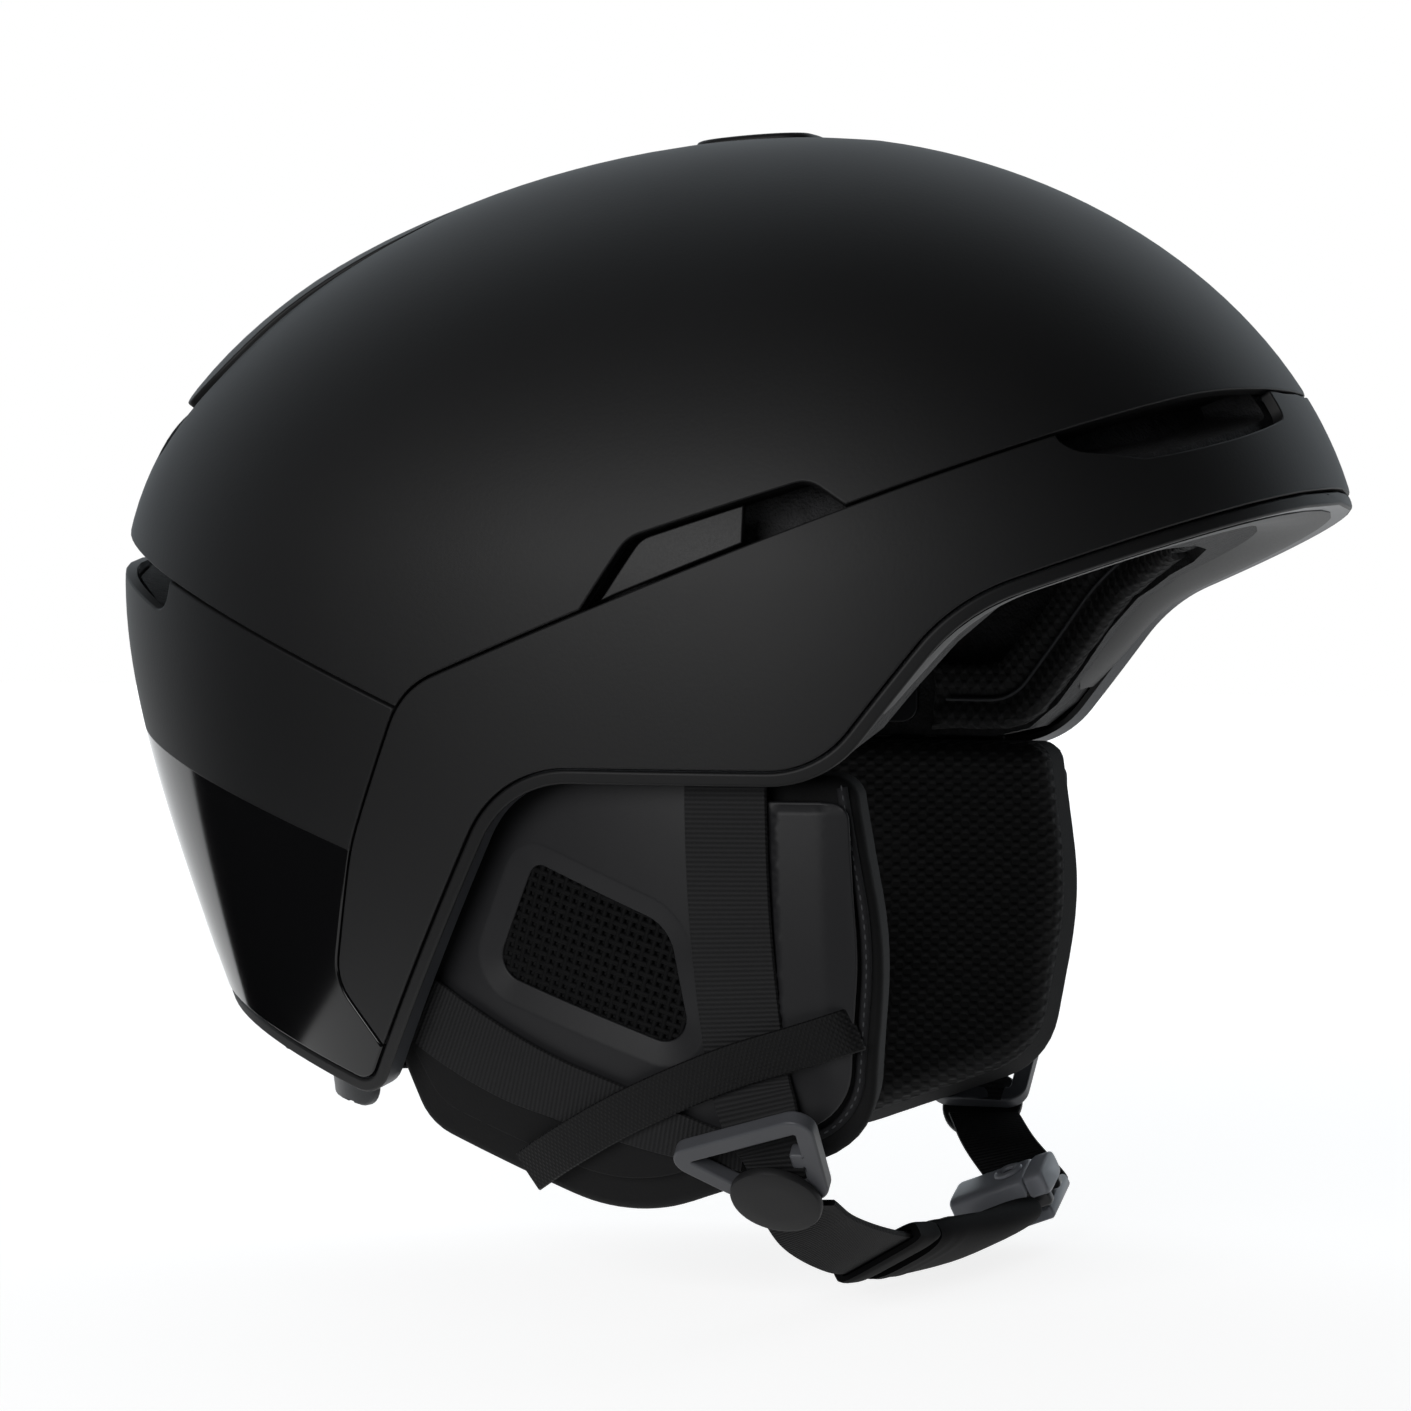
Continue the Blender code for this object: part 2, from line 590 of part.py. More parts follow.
spine_outline = grown([(x, min(y, SPINE_END_Y + SEAM), radius) for x, y, radius in SPINE_WINDOW], -SEAM)
spine_cover = keep(layer("spine_cover", OUTER, -SPINE_PROUD, LINER_INSET - FIT, MATTE),
                   prism("spine_outline", [spine_outline], "Z", 0.08, FAR))

# Foam liner, with the channels that the air takes and the pockets that hold other pieces

channel = pocket("crown_channel", crown_slot("channel_outline", CHANNEL_HALF_WIDTH, CHANNEL_FRONT_Y, SPINE_END_Y,
                                             0.010, 0.08, FAR), CHANNEL_DEPTH)
exhaust_outline = [(x, max(y, EXHAUST_START_Y), radius) for x, y, radius in SPINE_WINDOW[2:]]
exhaust_outline = [(x * 0.94, y, 0.006) for x, y, radius in exhaust_outline]
exhaust = pocket("exhaust", prism("exhaust_outline", [exhaust_outline], "Z", 0.07, FAR), VENT_DEPTH)
vent_pockets = [pocket(f"{vent.name}_pocket", vent, VENT_DEPTH) for vent in (side_vents, rear_vent, *front_vents)]
clip_pocket = pocket("clip_pocket", clip_window, CLIP_POCKET)

housing_y = CENTRE_Y + plan_scale(CAVITY, DIAL_Z) * (CAVITY.back - CRADLE_GAP)
dial_start_y = housing_y + HOUSING_LENGTH
dial_room = box("dial_room", (-HOUSING_HALF_WIDTH - DIAL_ROOM, CENTRE_Y, -0.08),
                (HOUSING_HALF_WIDTH + DIAL_ROOM, FAR, DIAL_Z + DIAL_RADIUS + DIAL_ROOM))

duct_pitch = 2 * SLIDER_TRAVEL
duct_span = (DUCT_COUNT - 1) * duct_pitch
duct_rows = [stem_y - duct_span / 2 + index * duct_pitch for index in range(DUCT_COUNT)]
ducts = [box(f"duct_{index}", (-DUCT_HALF_WIDTH, y - DUCT_LENGTH / 2, CROWN_Z - LINER_TOP - 0.03),
             (DUCT_HALF_WIDTH, y + DUCT_LENGTH / 2, CROWN_Z)) for index, y in enumerate(duct_rows)]


def ear_x(y, z):
    """Return how far the ear plate's outer face stands from the middle plane."""
    return (HALF_WIDTH - EAR_INSET - (y - EAR_MIDDLE_Y) ** 2 / (2 * EAR_PLAN_RADIUS)
            - (z - EAR_RIM_Z) ** 2 / (2 * EAR_HANG_RADIUS))


def ear_slab(name, side, outer, inner, material=None):
    """Return a slab that follows one ear plate's face, between two depths behind it."""
    shape = bmesh.new()
    rows, columns = 8, 8
    front, back, low, high = -0.075, 0.058, -0.072, 0.050
    faces = []
    for depth in (outer, inner):
        grid = []
        for row in range(rows + 1):
            z = low + (high - low) * row / rows
            line = []
            for column in range(columns + 1):
                y = front + (back - front) * column / columns
                line.append(shape.verts.new((side * (ear_x(y, z) - depth), y, z)))
            grid.append(line)
        faces.append(grid)
    for grid in faces:
        for row in range(rows):
            for column in range(columns):
                shape.faces.new((grid[row][column], grid[row][column + 1],
                                 grid[row + 1][column + 1], grid[row + 1][column]))
    edges = [edge for edge in shape.edges if edge.is_boundary]
    bmesh.ops.bridge_loops(shape, edges=edges)
    bmesh.ops.recalc_face_normals(shape, faces=shape.faces)
    return add(name, finished_mesh(name, shape), material)


def tab_outline(y, margin=0.0):
    half = EAR_TAB_WIDTH / 2 + margin
    top = EAR_PLATE_TOP_Z + EAR_TAB_HEIGHT + margin
    return [(y + half, EAR_PLATE_TOP_Z, 0), (y + half, top, 0), (y - half, top, 0), (y - half, EAR_PLATE_TOP_Z, 0)]


def ear_room(side_name, side):
    """Return cutters for one side's strap ends and ear-plate tabs."""
    rooms = []
    y, z, lift, width = FRONT_STRAP[0]
    half = width / 2 + POCKET_MARGIN
    low, high = sorted((side * (ear_x(y, z) - 4 * FIT), side * HALF_WIDTH))
    rooms.append(box(f"front_strap_room_{side_name}", (low, y - half, 0), (high, y + half, z + POCKET_MARGIN)))
    for index, y in enumerate(EAR_TABS_Y):
        room = ear_slab(f"ear_tab_room_{side_name}_{index}", side, -2 * FIT, EAR_PLATE_WALL + 2 * FIT)
        corners = [(across, min(up, EAR_PLATE_TOP_Z) - 0.01 if up == EAR_PLATE_TOP_Z else up, 0)
                   for across, up, radius in tab_outline(y, FIT)]
        rooms.append(keep(room, side_prism(f"ear_tab_room_outline_{side_name}_{index}", corners, side)))
    end, mid = Vector(REAR_STRAP[0][:2]), Vector(REAR_STRAP[1][:2])
    run = (end - mid).normalized()
    wide = Vector((-run.y, run.x)) * (REAR_STRAP[0][3] / 2 + POCKET_MARGIN)
    start, stop = mid - run * 0.01, end + run * POCKET_MARGIN
    corners = [(*(start - wide), 0), (*(stop - wide), 0), (*(stop + wide), 0), (*(start + wide), 0)]
    low, high = sorted((side * (ear_x(*stop) - 8 * FIT), side * HALF_WIDTH))
    rooms.append(prism(f"rear_strap_room_{side_name}", [corners], "X", low, high))
    return rooms


strap_rooms = [room for name, side in SIDES.items() for room in ear_room(name, side)]

eps_liner = cut(dome("eps_liner", OUTER, LINER_INSET, FOAM), dome("head_cavity", CAVITY, 0))
keep(eps_liner, above_shell_edge)
cut(eps_liner, channel, exhaust, *vent_pockets, clip_pocket, dial_room, *ducts, *strap_rooms)

for side_name, side in SIDES.items():
    plate = layer(f"side_vent_cover_{side_name}", OUTER, COVER_RECESS, COVER_RECESS + COVER_WALL, MOULDED)
    keep(plate, side_prism(f"side_vent_cover_outline_{side_name}", SIDE_VENT_COVER, side))

# Vent slider on the crown, and the shutter it drags over the ducts

slider_axis = Vector((0, CENTRE_Y, CROWN_Z - SLIDER_RADIUS))


def hang(thing, point):
    """Move a part's origin to its joint."""
    thing.data.transform(Matrix.Translation(-Vector(point)))
    thing.location = point
    return thing


def arc_strip(name, inner, outer, start_y, end_y, half_width, material, grips=()):
    """Return a plate curved about the slider's axis, with cross grooves where grips are given."""
    def spot(radius, y):
        angle = math.asin((y - CENTRE_Y) / outer)
        return (CENTRE_Y + radius * math.sin(angle), slider_axis.z + radius * math.cos(angle), 0)

    count = max(4, round((end_y - start_y) / 0.007))
    steps = [start_y + (end_y - start_y) * index / count for index in range(count + 1)]
    top = [(y, outer) for y in steps if all(abs(y - grip) > GRIP_GROOVE for grip in grips)]
    for grip in grips:
        top += [(grip - GRIP_GROOVE / 2, outer), (grip, outer - GRIP_DEPTH), (grip + GRIP_GROOVE / 2, outer)]
    outline = [spot(radius, y) for y, radius in sorted(top)] + [spot(inner, y) for y in reversed(steps)]
    return prism(name, [outline], "X", -half_width, half_width, material)


grip_span = (GRIP_COUNT - 1) * GRIP_PITCH
grip_rows = [stem_y - grip_span / 2 + index * GRIP_PITCH for index in range(GRIP_COUNT)]
vent_slider = arc_strip("vent_slider", SLIDER_RADIUS - SLIDER_SUNK, SLIDER_RADIUS + SLIDER_PROUD, slider_front_y,
                        SLIDER_REAR_Y, SLIDER_HALF_WIDTH, MOULDED, grip_rows)
keep(vent_slider, crown_slot("slider_outline", SLIDER_HALF_WIDTH - 0.0001, slider_front_y + 0.0001,
                             SLIDER_REAR_Y - 0.0001, 0.007, CROWN_Z - 0.03, FAR))
shutter_low = CROWN_Z - CHANNEL_DEPTH + SHUTTER_LIFT
shutter_inner = shutter_low - slider_axis.z
stem = box("slider_stem", (-STEM_HALF_WIDTH, stem_y - STEM_LENGTH / 2, shutter_low - 0.0002),
           (STEM_HALF_WIDTH, stem_y + STEM_LENGTH / 2, CROWN_Z - 0.0003))
join(vent_slider, stem)
hang(vent_slider, slider_axis)

window_rows = [y + SLIDER_TRAVEL for y in duct_rows]
vent_shutter = arc_strip("vent_shutter", shutter_inner, shutter_inner + SHUTTER_WALL,
                         duct_rows[0] - DUCT_LENGTH * 0.7, window_rows[-1] + DUCT_LENGTH * 0.7,
                         SHUTTER_HALF_WIDTH, MOULDED)
cut(vent_shutter, *[box(f"shutter_window_{index}", (-DUCT_HALF_WIDTH, y - DUCT_LENGTH / 2, CROWN_Z - 0.04),
                        (DUCT_HALF_WIDTH, y + DUCT_LENGTH / 2, CROWN_Z)) for index, y in enumerate(window_rows)])
cut(vent_shutter, box("stem_socket", (-STEM_HALF_WIDTH - FIT, stem_y - STEM_LENGTH / 2 - FIT, CROWN_Z - 0.04),
                      (STEM_HALF_WIDTH + FIT, stem_y + STEM_LENGTH / 2 + FIT, CROWN_Z)))
hang(vent_shutter, slider_axis)

# Comfort pads inside the liner

brow_pad = layer("brow_pad", CAVITY, FIT, FIT + PAD, KNIT)
keep(brow_pad, side_prism("above_brow_pad", grown(RIM, -BROW_PAD_LOW)))
cut(brow_pad, side_prism("over_brow_pad", grown(RIM, -BROW_PAD_HIGH)),
    box("behind_brow_pad", (-FAR, BROW_PAD_END_Y, -FAR), (FAR, FAR, FAR)))

crown_rib = [(-CROWN_PAD_RIB, -0.058, 0.010), (CROWN_PAD_RIB, -0.058, 0.010),
             (CROWN_PAD_RIB, 0.030, 0.010), (-CROWN_PAD_RIB, 0.030, 0.010)]
crown_pad = keep(layer("crown_pad", CAVITY, FIT, FIT + PAD, KNIT),
                 prism("crown_pad_outline", [CROWN_PAD, crown_rib], "Z", WIDEST_Z, FAR))

for side_name, side in SIDES.items():
    keep(layer(f"side_pad_{side_name}", CAVITY, FIT, FIT + PAD, KNIT),
         side_prism(f"side_pad_outline_{side_name}", SIDE_PAD, side))

# Fit system

for side_name, side in SIDES.items():
    keep(layer(f"fit_band_{side_name}", CAVITY, FIT, FIT + FIT_BAND_WALL, MOULDED),
         side_prism(f"fit_band_outline_{side_name}", FIT_BAND, side))

nape_cradle = keep(layer("nape_cradle", CAVITY, CRADLE_GAP, CRADLE_GAP + CRADLE_WALL, MOULDED),
                   side_prism("cradle_outline", CRADLE))
slot_middle_z = (CRADLE[0][1] + CRADLE[-1][1]) / 2
cradle_slot = [(CRADLE_SLOT_Y + along, slot_middle_z + up, 0.0015) for along, up in (
    (0, -CRADLE_SLOT_HEIGHT / 2), (2 * CRADLE_TRAVEL, -CRADLE_SLOT_HEIGHT / 2),
    (2 * CRADLE_TRAVEL, CRADLE_SLOT_HEIGHT / 2), (0, CRADLE_SLOT_HEIGHT / 2))]
cut(nape_cradle, side_prism("cradle_slot", cradle_slot))
pad_depth = CRADLE_GAP + CRADLE_WALL + FIT
nape_pad = keep(layer("nape_pad", CAVITY, pad_depth, pad_depth + NAPE_PAD_THICK, KNIT),
                side_prism("nape_pad_outline", NAPE_PAD))

dial_housing = box("dial_housing", (-HOUSING_HALF_WIDTH, housing_y - 0.02, DIAL_Z - HOUSING_HALF_HEIGHT),
                   (HOUSING_HALF_WIDTH, dial_start_y, DIAL_Z + HOUSING_HALF_HEIGHT), MOULDED, 0.003)
cut(dial_housing, dome("cradle_back", CAVITY, CRADLE_GAP - FIT))

dial_points = []
for index in range(2 * DIAL_LOBES):
    angle = math.pi * index / DIAL_LOBES
    radius = DIAL_RADIUS - DIAL_LOBE_DEPTH * (index % 2)
    dial_points.append((radius * math.cos(angle), radius * math.sin(angle), 0))
fit_dial = prism("fit_dial", [dial_points], "Y", FIT, FIT + DIAL_LENGTH, MOULDED,
                 Matrix.Translation((0, dial_start_y, DIAL_Z)))

# Goggle clip

clip_axis = Vector((0, back_y(CLIP_AXIS_Z, CLIP_AXIS_INSET), CLIP_AXIS_Z))
goggle_clip = keep(layer("goggle_clip", OUTER, 0, SHELL_WALL, MOULDED),
                   prism("clip_outline", [clip_outline], "Y", 0.05, FAR))
knuckle = rod("clip_knuckle", KNUCKLE_RADIUS, clip_axis - Vector((KNUCKLE_HALF_WIDTH, 0, 0)),
              clip_axis + Vector((KNUCKLE_HALF_WIDTH, 0, 0)), sides=16)
web = box("clip_web", (-KNUCKLE_HALF_WIDTH, clip_axis.y, CLIP_AXIS_Z - 0.001),
          (KNUCKLE_HALF_WIDTH, back_y(CLIP_AXIS_Z, SHELL_WALL) + 0.0008, CLIP_AXIS_Z + KNUCKLE_RADIUS - 0.0002))
bore = rod("clip_bore", CLIP_PIN_RADIUS + FIT, clip_axis - Vector((0.02, 0, 0)), clip_axis + Vector((0.02, 0, 0)),
           sides=16)
cut(join(goggle_clip, web, knuckle), bore)
hang(goggle_clip, clip_axis)

ear_start = KNUCKLE_HALF_WIDTH + FIT
ear_end = ear_start + BRACKET_WALL
clip_pin = rod("clip_pin", CLIP_PIN_RADIUS, clip_axis - Vector((ear_end, 0, 0)), clip_axis + Vector((ear_end, 0, 0)),
               STEEL, 16)
bracket_front = clip_axis.y - KNUCKLE_RADIUS - 0.0012
clip_bracket = box("clip_bracket", (-ear_end, bracket_front, BRACKET_BOTTOM_Z),
                   (ear_end, clip_axis.y - FIT, BRACKET_BOTTOM_Z + BRACKET_BASE), MOULDED)
for side_name, side in SIDES.items():
    low, high = sorted((side * ear_start, side * ear_end))
    join(clip_bracket, box(f"bracket_leg_{side_name}", (low, bracket_front, BRACKET_BOTTOM_Z + BRACKET_BASE / 4),
                           (high, clip_axis.y - FIT, clip_axis.z + BRACKET_EYE_RADIUS / 2)))
    join(clip_bracket, rod(f"bracket_eye_{side_name}", BRACKET_EYE_RADIUS, (low + 0.0001, *clip_axis.yz),
                           (high - 0.0001, *clip_axis.yz), sides=16))
cut(clip_bracket, rod("bracket_bore", CLIP_PIN_RADIUS + FIT / 2, clip_axis - Vector((0.02, 0, 0)),
                      clip_axis + Vector((0.02, 0, 0)), sides=16))

# Ear pads, one per side


def outline_reach(points, centre, angle):
    """Return how far an outline lies from a centre in one direction."""
    look = Vector((math.cos(angle), math.sin(angle)))
    reach = 0.0
    for a, b in zip(points, points[1:] + points[:1]):
        start, edge = a - centre, b - a
        across = look.cross(edge)
        if abs(across) < 1e-12:
            continue
        distance = start.cross(edge) / across
        share = start.cross(look) / across
        if distance > reach and -1e-9 <= share <= 1 + 1e-9:
            reach = distance
    return reach


def cushion(name, side, outer, material):
    """Return a soft pad behind the ear plate, hollowed for the ear."""
    points = rounded(EAR_PAD)
    centre = Vector(EAR_CENTRE)
    shape = bmesh.new()
    bmesh.ops.create_uvsphere(shape, u_segments=24, v_segments=12, radius=1.0)
    for vert in shape.verts:
        inward = math.copysign(abs(vert.co.z) ** CUSHION_POWER, vert.co.z)
        share = math.hypot(vert.co.x, vert.co.y) ** CUSHION_POWER
        angle = math.atan2(vert.co.y, vert.co.x)
        spot = centre + Vector((math.cos(angle), math.sin(angle))) * share * outline_reach(points, centre, angle)
        depth = outer + CUSHION_THICK * (1 + inward) / 2
        if inward > 0:
            depth -= EAR_HOLLOW * max(0, 1 - ((spot - centre).length / EAR_HOLLOW_REACH) ** 2) ** 2
        vert.co = (side * (ear_x(spot.x, spot.y) - depth), spot.x, spot.y)
    bmesh.ops.recalc_face_normals(shape, faces=shape.faces)
    return add(name, finished_mesh(name, shape), material)


ear_window = grown(EAR_BEZEL, -BEZEL_WIDTH)
plate_corners = list(EAR_PLATE)
for tab_y in EAR_TABS_Y:
    plate_corners += tab_outline(tab_y)
mesh_outline = grown(ear_window, MESH_MARGIN)
mesh_turn = Matrix.Rotation(math.radians(MESH_TURN), 2)
window_middle = sum((Vector(corner[:2]) for corner in ear_window), Vector((0, 0))) / len(ear_window)
mesh_room = rounded(grown(ear_window, -0.0003))


def inside(points, spot):
    """Tell whether a spot lies within an outline."""
    crossings = 0
    for a, b in zip(points, points[1:] + points[:1]):
        if (a.y > spot.y) != (b.y > spot.y):
            crossings += spot.x < a.x + (b.x - a.x) * (spot.y - a.y) / (b.y - a.y)
    return crossings % 2 == 1


def mesh_holes():
    """Return the square holes that fit within the ear plate's window."""
    holes = []
    reach = 6
    for row in range(-reach, reach + 1):
        for column in range(-reach, reach + 1):
            middle = window_middle + mesh_turn @ Vector((column * MESH_PITCH, row * MESH_PITCH))
            spots = [middle + mesh_turn @ Vector((a, b)) * MESH_HOLE / 2 for a, b in ((-1, -1), (1, -1), (1, 1), (-1, 1))]
            if all(inside(mesh_room, spot) for spot in spots):
                holes.append([(*spot, 0) for spot in spots])
    return holes


def ear_funnel(name, side):
    """Return a cutter that slopes from the bezel's outline on the plate's face down to the window's edge."""
    slope = BEZEL_WIDTH / BEZEL_RECESS
    face = rounded(EAR_BEZEL)
    counts = [math.ceil((b - a).length / 0.008) for a, b in zip(face, face[1:] + face[:1])]
    shape = bmesh.new()
    rings = []
    for depth in (-EAR_PLATE_WALL, BEZEL_RECESS + FIT / 2):
        points = rounded(grown(EAR_BEZEL, -depth * slope))
        spots = [a.lerp(b, step / count) for a, b, count in zip(points, points[1:] + points[:1], counts)
                 for step in range(count)]
        ring = [shape.verts.new((side * (ear_x(*spot) - depth), *spot)) for spot in spots]
        middle = shape.verts.new((side * (ear_x(*window_middle) - 2 * depth), *window_middle))
        for index in range(len(ring)):
            shape.faces.new((ring[index - 1], ring[index], middle))
        rings.append(ring)
    for index in range(len(rings[0])):
        shape.faces.new((rings[0][index - 1], rings[0][index], rings[1][index], rings[1][index - 1]))
    bmesh.ops.recalc_face_normals(shape, faces=shape.faces)
    return add(name, finished_mesh(name, shape))


def ear_ribbon(name, side, path, wall, material):
    """Return webbing laid over one ear plate."""
    stations = smooth(path, 3)
    shape = bmesh.new()
    rings = []
    for index, station in enumerate(stations):
        ahead = stations[min(index + 1, len(stations) - 1)] - stations[max(index - 1, 0)]
        wide = Vector((-ahead[1], ahead[0])).normalized() * station[3] / 2
        ring = []
        for rail, height in ((-1, 0), (1, 0), (1, wall), (-1, wall)):
            y, z = station[0] + rail * wide.x, station[1] + rail * wide.y
            ring.append(shape.verts.new((side * (ear_x(y, z) + station[2] + height), y, z)))
        rings.append(ring)
    for ring, following in zip(rings, rings[1:]):
        for index in range(4):
            shape.faces.new((ring[index - 1], ring[index], following[index], following[index - 1]))
    shape.faces.new(rings[0])
    shape.faces.new(rings[-1])
    bmesh.ops.recalc_face_normals(shape, faces=shape.faces)
    return add(name, finished_mesh(name, shape), material)


def anchor(name, side, station):
    """Return the disc that pins a strap's end inside the shell."""
    y, z, lift, width = station
    face = Vector((ear_x(y, z) + lift + WEB_WALL, y, z))
    out = Vector((1, (y - EAR_MIDDLE_Y) / EAR_PLAN_RADIUS, (z - EAR_RIM_Z) / EAR_HANG_RADIUS)).normalized()
    mirror = Matrix.Diagonal((side, 1, 1))
    start, end = (mirror @ (face + out * height) for height in (2 * FIT, 2 * FIT + ANCHOR_WALL))
    return rod(name, ANCHOR_RADIUS, start, end, MOULDED, 20)


for side_name, side in SIDES.items():
    window_hole = side_prism(f"ear_window_{side_name}", ear_window, side)
    plate = keep(ear_slab(f"ear_plate_{side_name}", side, 0, EAR_PLATE_WALL, MOULDED),
                 side_prism(f"ear_plate_outline_{side_name}", plate_corners, side))
    join(plate, keep(ear_slab(f"ear_ridge_{side_name}", side, -RIDGE_PROUD, EAR_PLATE_WALL / 2),
                     side_prism(f"ear_ridge_outline_{side_name}", EAR_RIDGE, side)))
    cut(plate, ear_funnel(f"ear_bezel_{side_name}", side), window_hole)

    mesh_depth = EAR_PLATE_WALL + FIT
    mesh = keep(ear_slab(f"ear_mesh_{side_name}", side, mesh_depth, mesh_depth + MESH_WALL, MESH),
                side_prism(f"ear_mesh_outline_{side_name}", mesh_outline, side))
    cut(mesh, prism(f"ear_mesh_holes_{side_name}", mesh_holes(), "X", *sorted((side * 0.01, side * FAR))))

    cushion(f"ear_cushion_{side_name}", side, mesh_depth + MESH_WALL + FIT, KNIT)
    front_strap = ear_ribbon(f"front_strap_{side_name}", side, FRONT_STRAP, WEB_WALL, WEBBING)
    rear_strap = ear_ribbon(f"rear_strap_{side_name}", side, REAR_STRAP, WEB_WALL, WEBBING)
    ear_ribbon(f"ear_elastic_{side_name}", side, ELASTIC, ELASTIC_WALL, ELASTIC_WEAVE)
    anchor(f"front_anchor_{side_name}", side, (FRONT_STRAP[0][0], FRONT_STRAP[0][1] - 0.006, *FRONT_STRAP[0][2:]))
    rear_pin = Vector(REAR_STRAP[0]).lerp(Vector(REAR_STRAP[1]), 0.3)
    anchor(f"rear_anchor_{side_name}", side, rear_pin)

# Strap dividers


def divider_frame(side):
    """Return the place of one divider: forward, down and face directions as its axes."""
    y, z = DIVIDER_PLACE
    tilt = math.radians(DIVIDER_TILT)
    forward = Vector((0, -1, 0))
    down = Vector((-side * math.sin(tilt), 0, -math.cos(tilt)))
    frame = Matrix((forward, down, forward.cross(down))).transposed().to_4x4()
    frame.translation = (side * (ear_x(y, z) + DIVIDER_STAND_OFF), y, z)
    return frame


for side_name, side in SIDES.items():
    place = divider_frame(side)
    opening = grown(DIVIDER, -DIVIDER_BAR)
    divider = prism(f"strap_divider_{side_name}", [DIVIDER, opening], "Z", -DIVIDER_WALL / 2, DIVIDER_WALL / 2,
                    MOULDED, place)
    tooth_x = opening[2][0]
    tooth_y = (opening[1][1] + opening[2][1]) / 2
    join(divider, box(f"divider_tooth_{side_name}", (tooth_x - TOOTH, tooth_y - TOOTH, -DIVIDER_WALL / 3),
                      (tooth_x + TOOTH, tooth_y + TOOTH, DIVIDER_WALL / 3), place=place))
    cap_low = DIVIDER_WALL / 2 + FIT
    cap_start, cap_end = (Vector((*DIVIDER_CAP_PLACE, side * depth)) for depth in (cap_low, cap_low + DIVIDER_CAP_WALL))
    rod(f"divider_cap_{side_name}", DIVIDER_CAP_RADIUS, place @ cap_start, place @ cap_end, MOULDED)

# Chin strap, keeper, sleeve and buckle


def band_section(path, at):
    """Return the place, run and width direction of a chin strap at a station number."""
    def spot(place):
        index = min(max(int(place), 0), len(path) - 2)
        share = place - index
        near = [path[min(max(index + step, 0), len(path) - 1)] for step in (-1, 0, 1, 2)]
        points = []
        for part in (0, 1):
            a, b, c, d = (Vector(station[part] if part == 0 else (0, *station[part])) for station in near)
            t = share
            points.append(0.5 * (2 * b + (c - a) * t + (2 * a - 5 * b + 4 * c - d) * t * t
                                 + (3 * b - a - 3 * c + d) * t ** 3))
        return points

    place, width = spot(at)
    run = (spot(min(at + 0.05, len(path) - 1))[0] - spot(max(at - 0.05, 0))[0]).normalized()
    return place, run, width.normalized()


def band(name, path, section, start, end, steps, material=None):
    """Sweep a closed section (across, through) along part of a chin strap."""
    shape = bmesh.new()
    rings = []
    for step in range(steps + 1):
        place, run, width = band_section(path, start + (end - start) * step / steps)
        through = run.cross(width).normalized()
        rings.append([shape.verts.new(place + width * a + through * b) for a, b in section])
    for ring, following in zip(rings, rings[1:]):
        for index in range(len(section)):
            shape.faces.new((ring[index - 1], ring[index], following[index], following[index - 1]))
    shape.faces.new(rings[0])
    shape.faces.new(rings[-1])
    bmesh.ops.recalc_face_normals(shape, faces=shape.faces)
    return add(name, finished_mesh(name, shape), material)


def slab_section(width, wall):
    return [(-width / 2, -wall / 2), (width / 2, -wall / 2), (width / 2, wall / 2), (-width / 2, wall / 2)]


def oval_section(width, wall, sides=16):
    ring = []
    for index in range(sides):
        angle = math.tau * index / sides
        across, through = math.cos(angle), math.sin(angle)
        ring.append((math.copysign(abs(across) ** 0.7, across) * width / 2,
                     math.copysign(abs(through) ** 0.7, through) * wall / 2))
    return ring


chin_half_span = (divider_frame(1) @ Vector((0, DIVIDER[2][1], 0))).x - CHIN_START_INSET
chin_right, chin_left = ([((share * chin_half_span, y, z), lean) for (share, y, z), lean in route]
                         for route in (CHIN_RIGHT, CHIN_LEFT))
last = len(chin_right) - 1
web_section = slab_section(CHIN_WIDTH, WEB_WALL)
web_room = slab_section(CHIN_WIDTH + 2 * FIT, WEB_WALL + 2 * FIT)
chin_strap_right = band("chin_strap_right", chin_right, web_section, 0, last, 6 * last, WEBBING)

keeper_at = (KEEPER_STATION - 0.3, KEEPER_STATION + 0.3)
keeper_width = CHIN_WIDTH + 2 * FIT + 2 * KEEPER_WALL
strap_keeper = band("strap_keeper", chin_right, slab_section(keeper_width, WEB_WALL + 2 * FIT + 2 * KEEPER_WALL),
                    *keeper_at, 2, RUBBER)
strap_hole = band("strap_hole", chin_right, web_room, 1, last, 6 * (last - 1))
cut(strap_keeper, strap_hole)
chin_sleeve = band("chin_sleeve", chin_right, oval_section(SLEEVE_WIDTH, SLEEVE_THICK), *SLEEVE_STATIONS, 7, RUBBER)
cut(chin_sleeve, strap_hole)

strap_end, strap_run, strap_width = band_section(chin_right, last)
strap_width = (strap_width - strap_run * strap_width.dot(strap_run)).normalized()
buckle = Matrix((strap_run, strap_width, strap_run.cross(strap_width))).transposed().to_4x4()
buckle.translation = strap_end + strap_run * (5 * FIT)

half_width = BUCKLE_WIDTH / 2
buckle_socket = box("buckle_socket", (0, -half_width, -SOCKET_THICK / 2), (SOCKET_LENGTH, half_width, SOCKET_THICK / 2),
                    BUCKLE_GREY, BUCKLE_ROUND, buckle)
key_middle = SOCKET_LENGTH / 2
groove = box("key_groove", (key_middle - KEY_WIDTH / 2 - FIT, -half_width + 0.004, SOCKET_THICK / 2 - KEY_HEIGHT - FIT),
             (key_middle + KEY_WIDTH / 2 + FIT, half_width + 0.004, SOCKET_THICK), place=buckle)
cut(buckle_socket, groove)

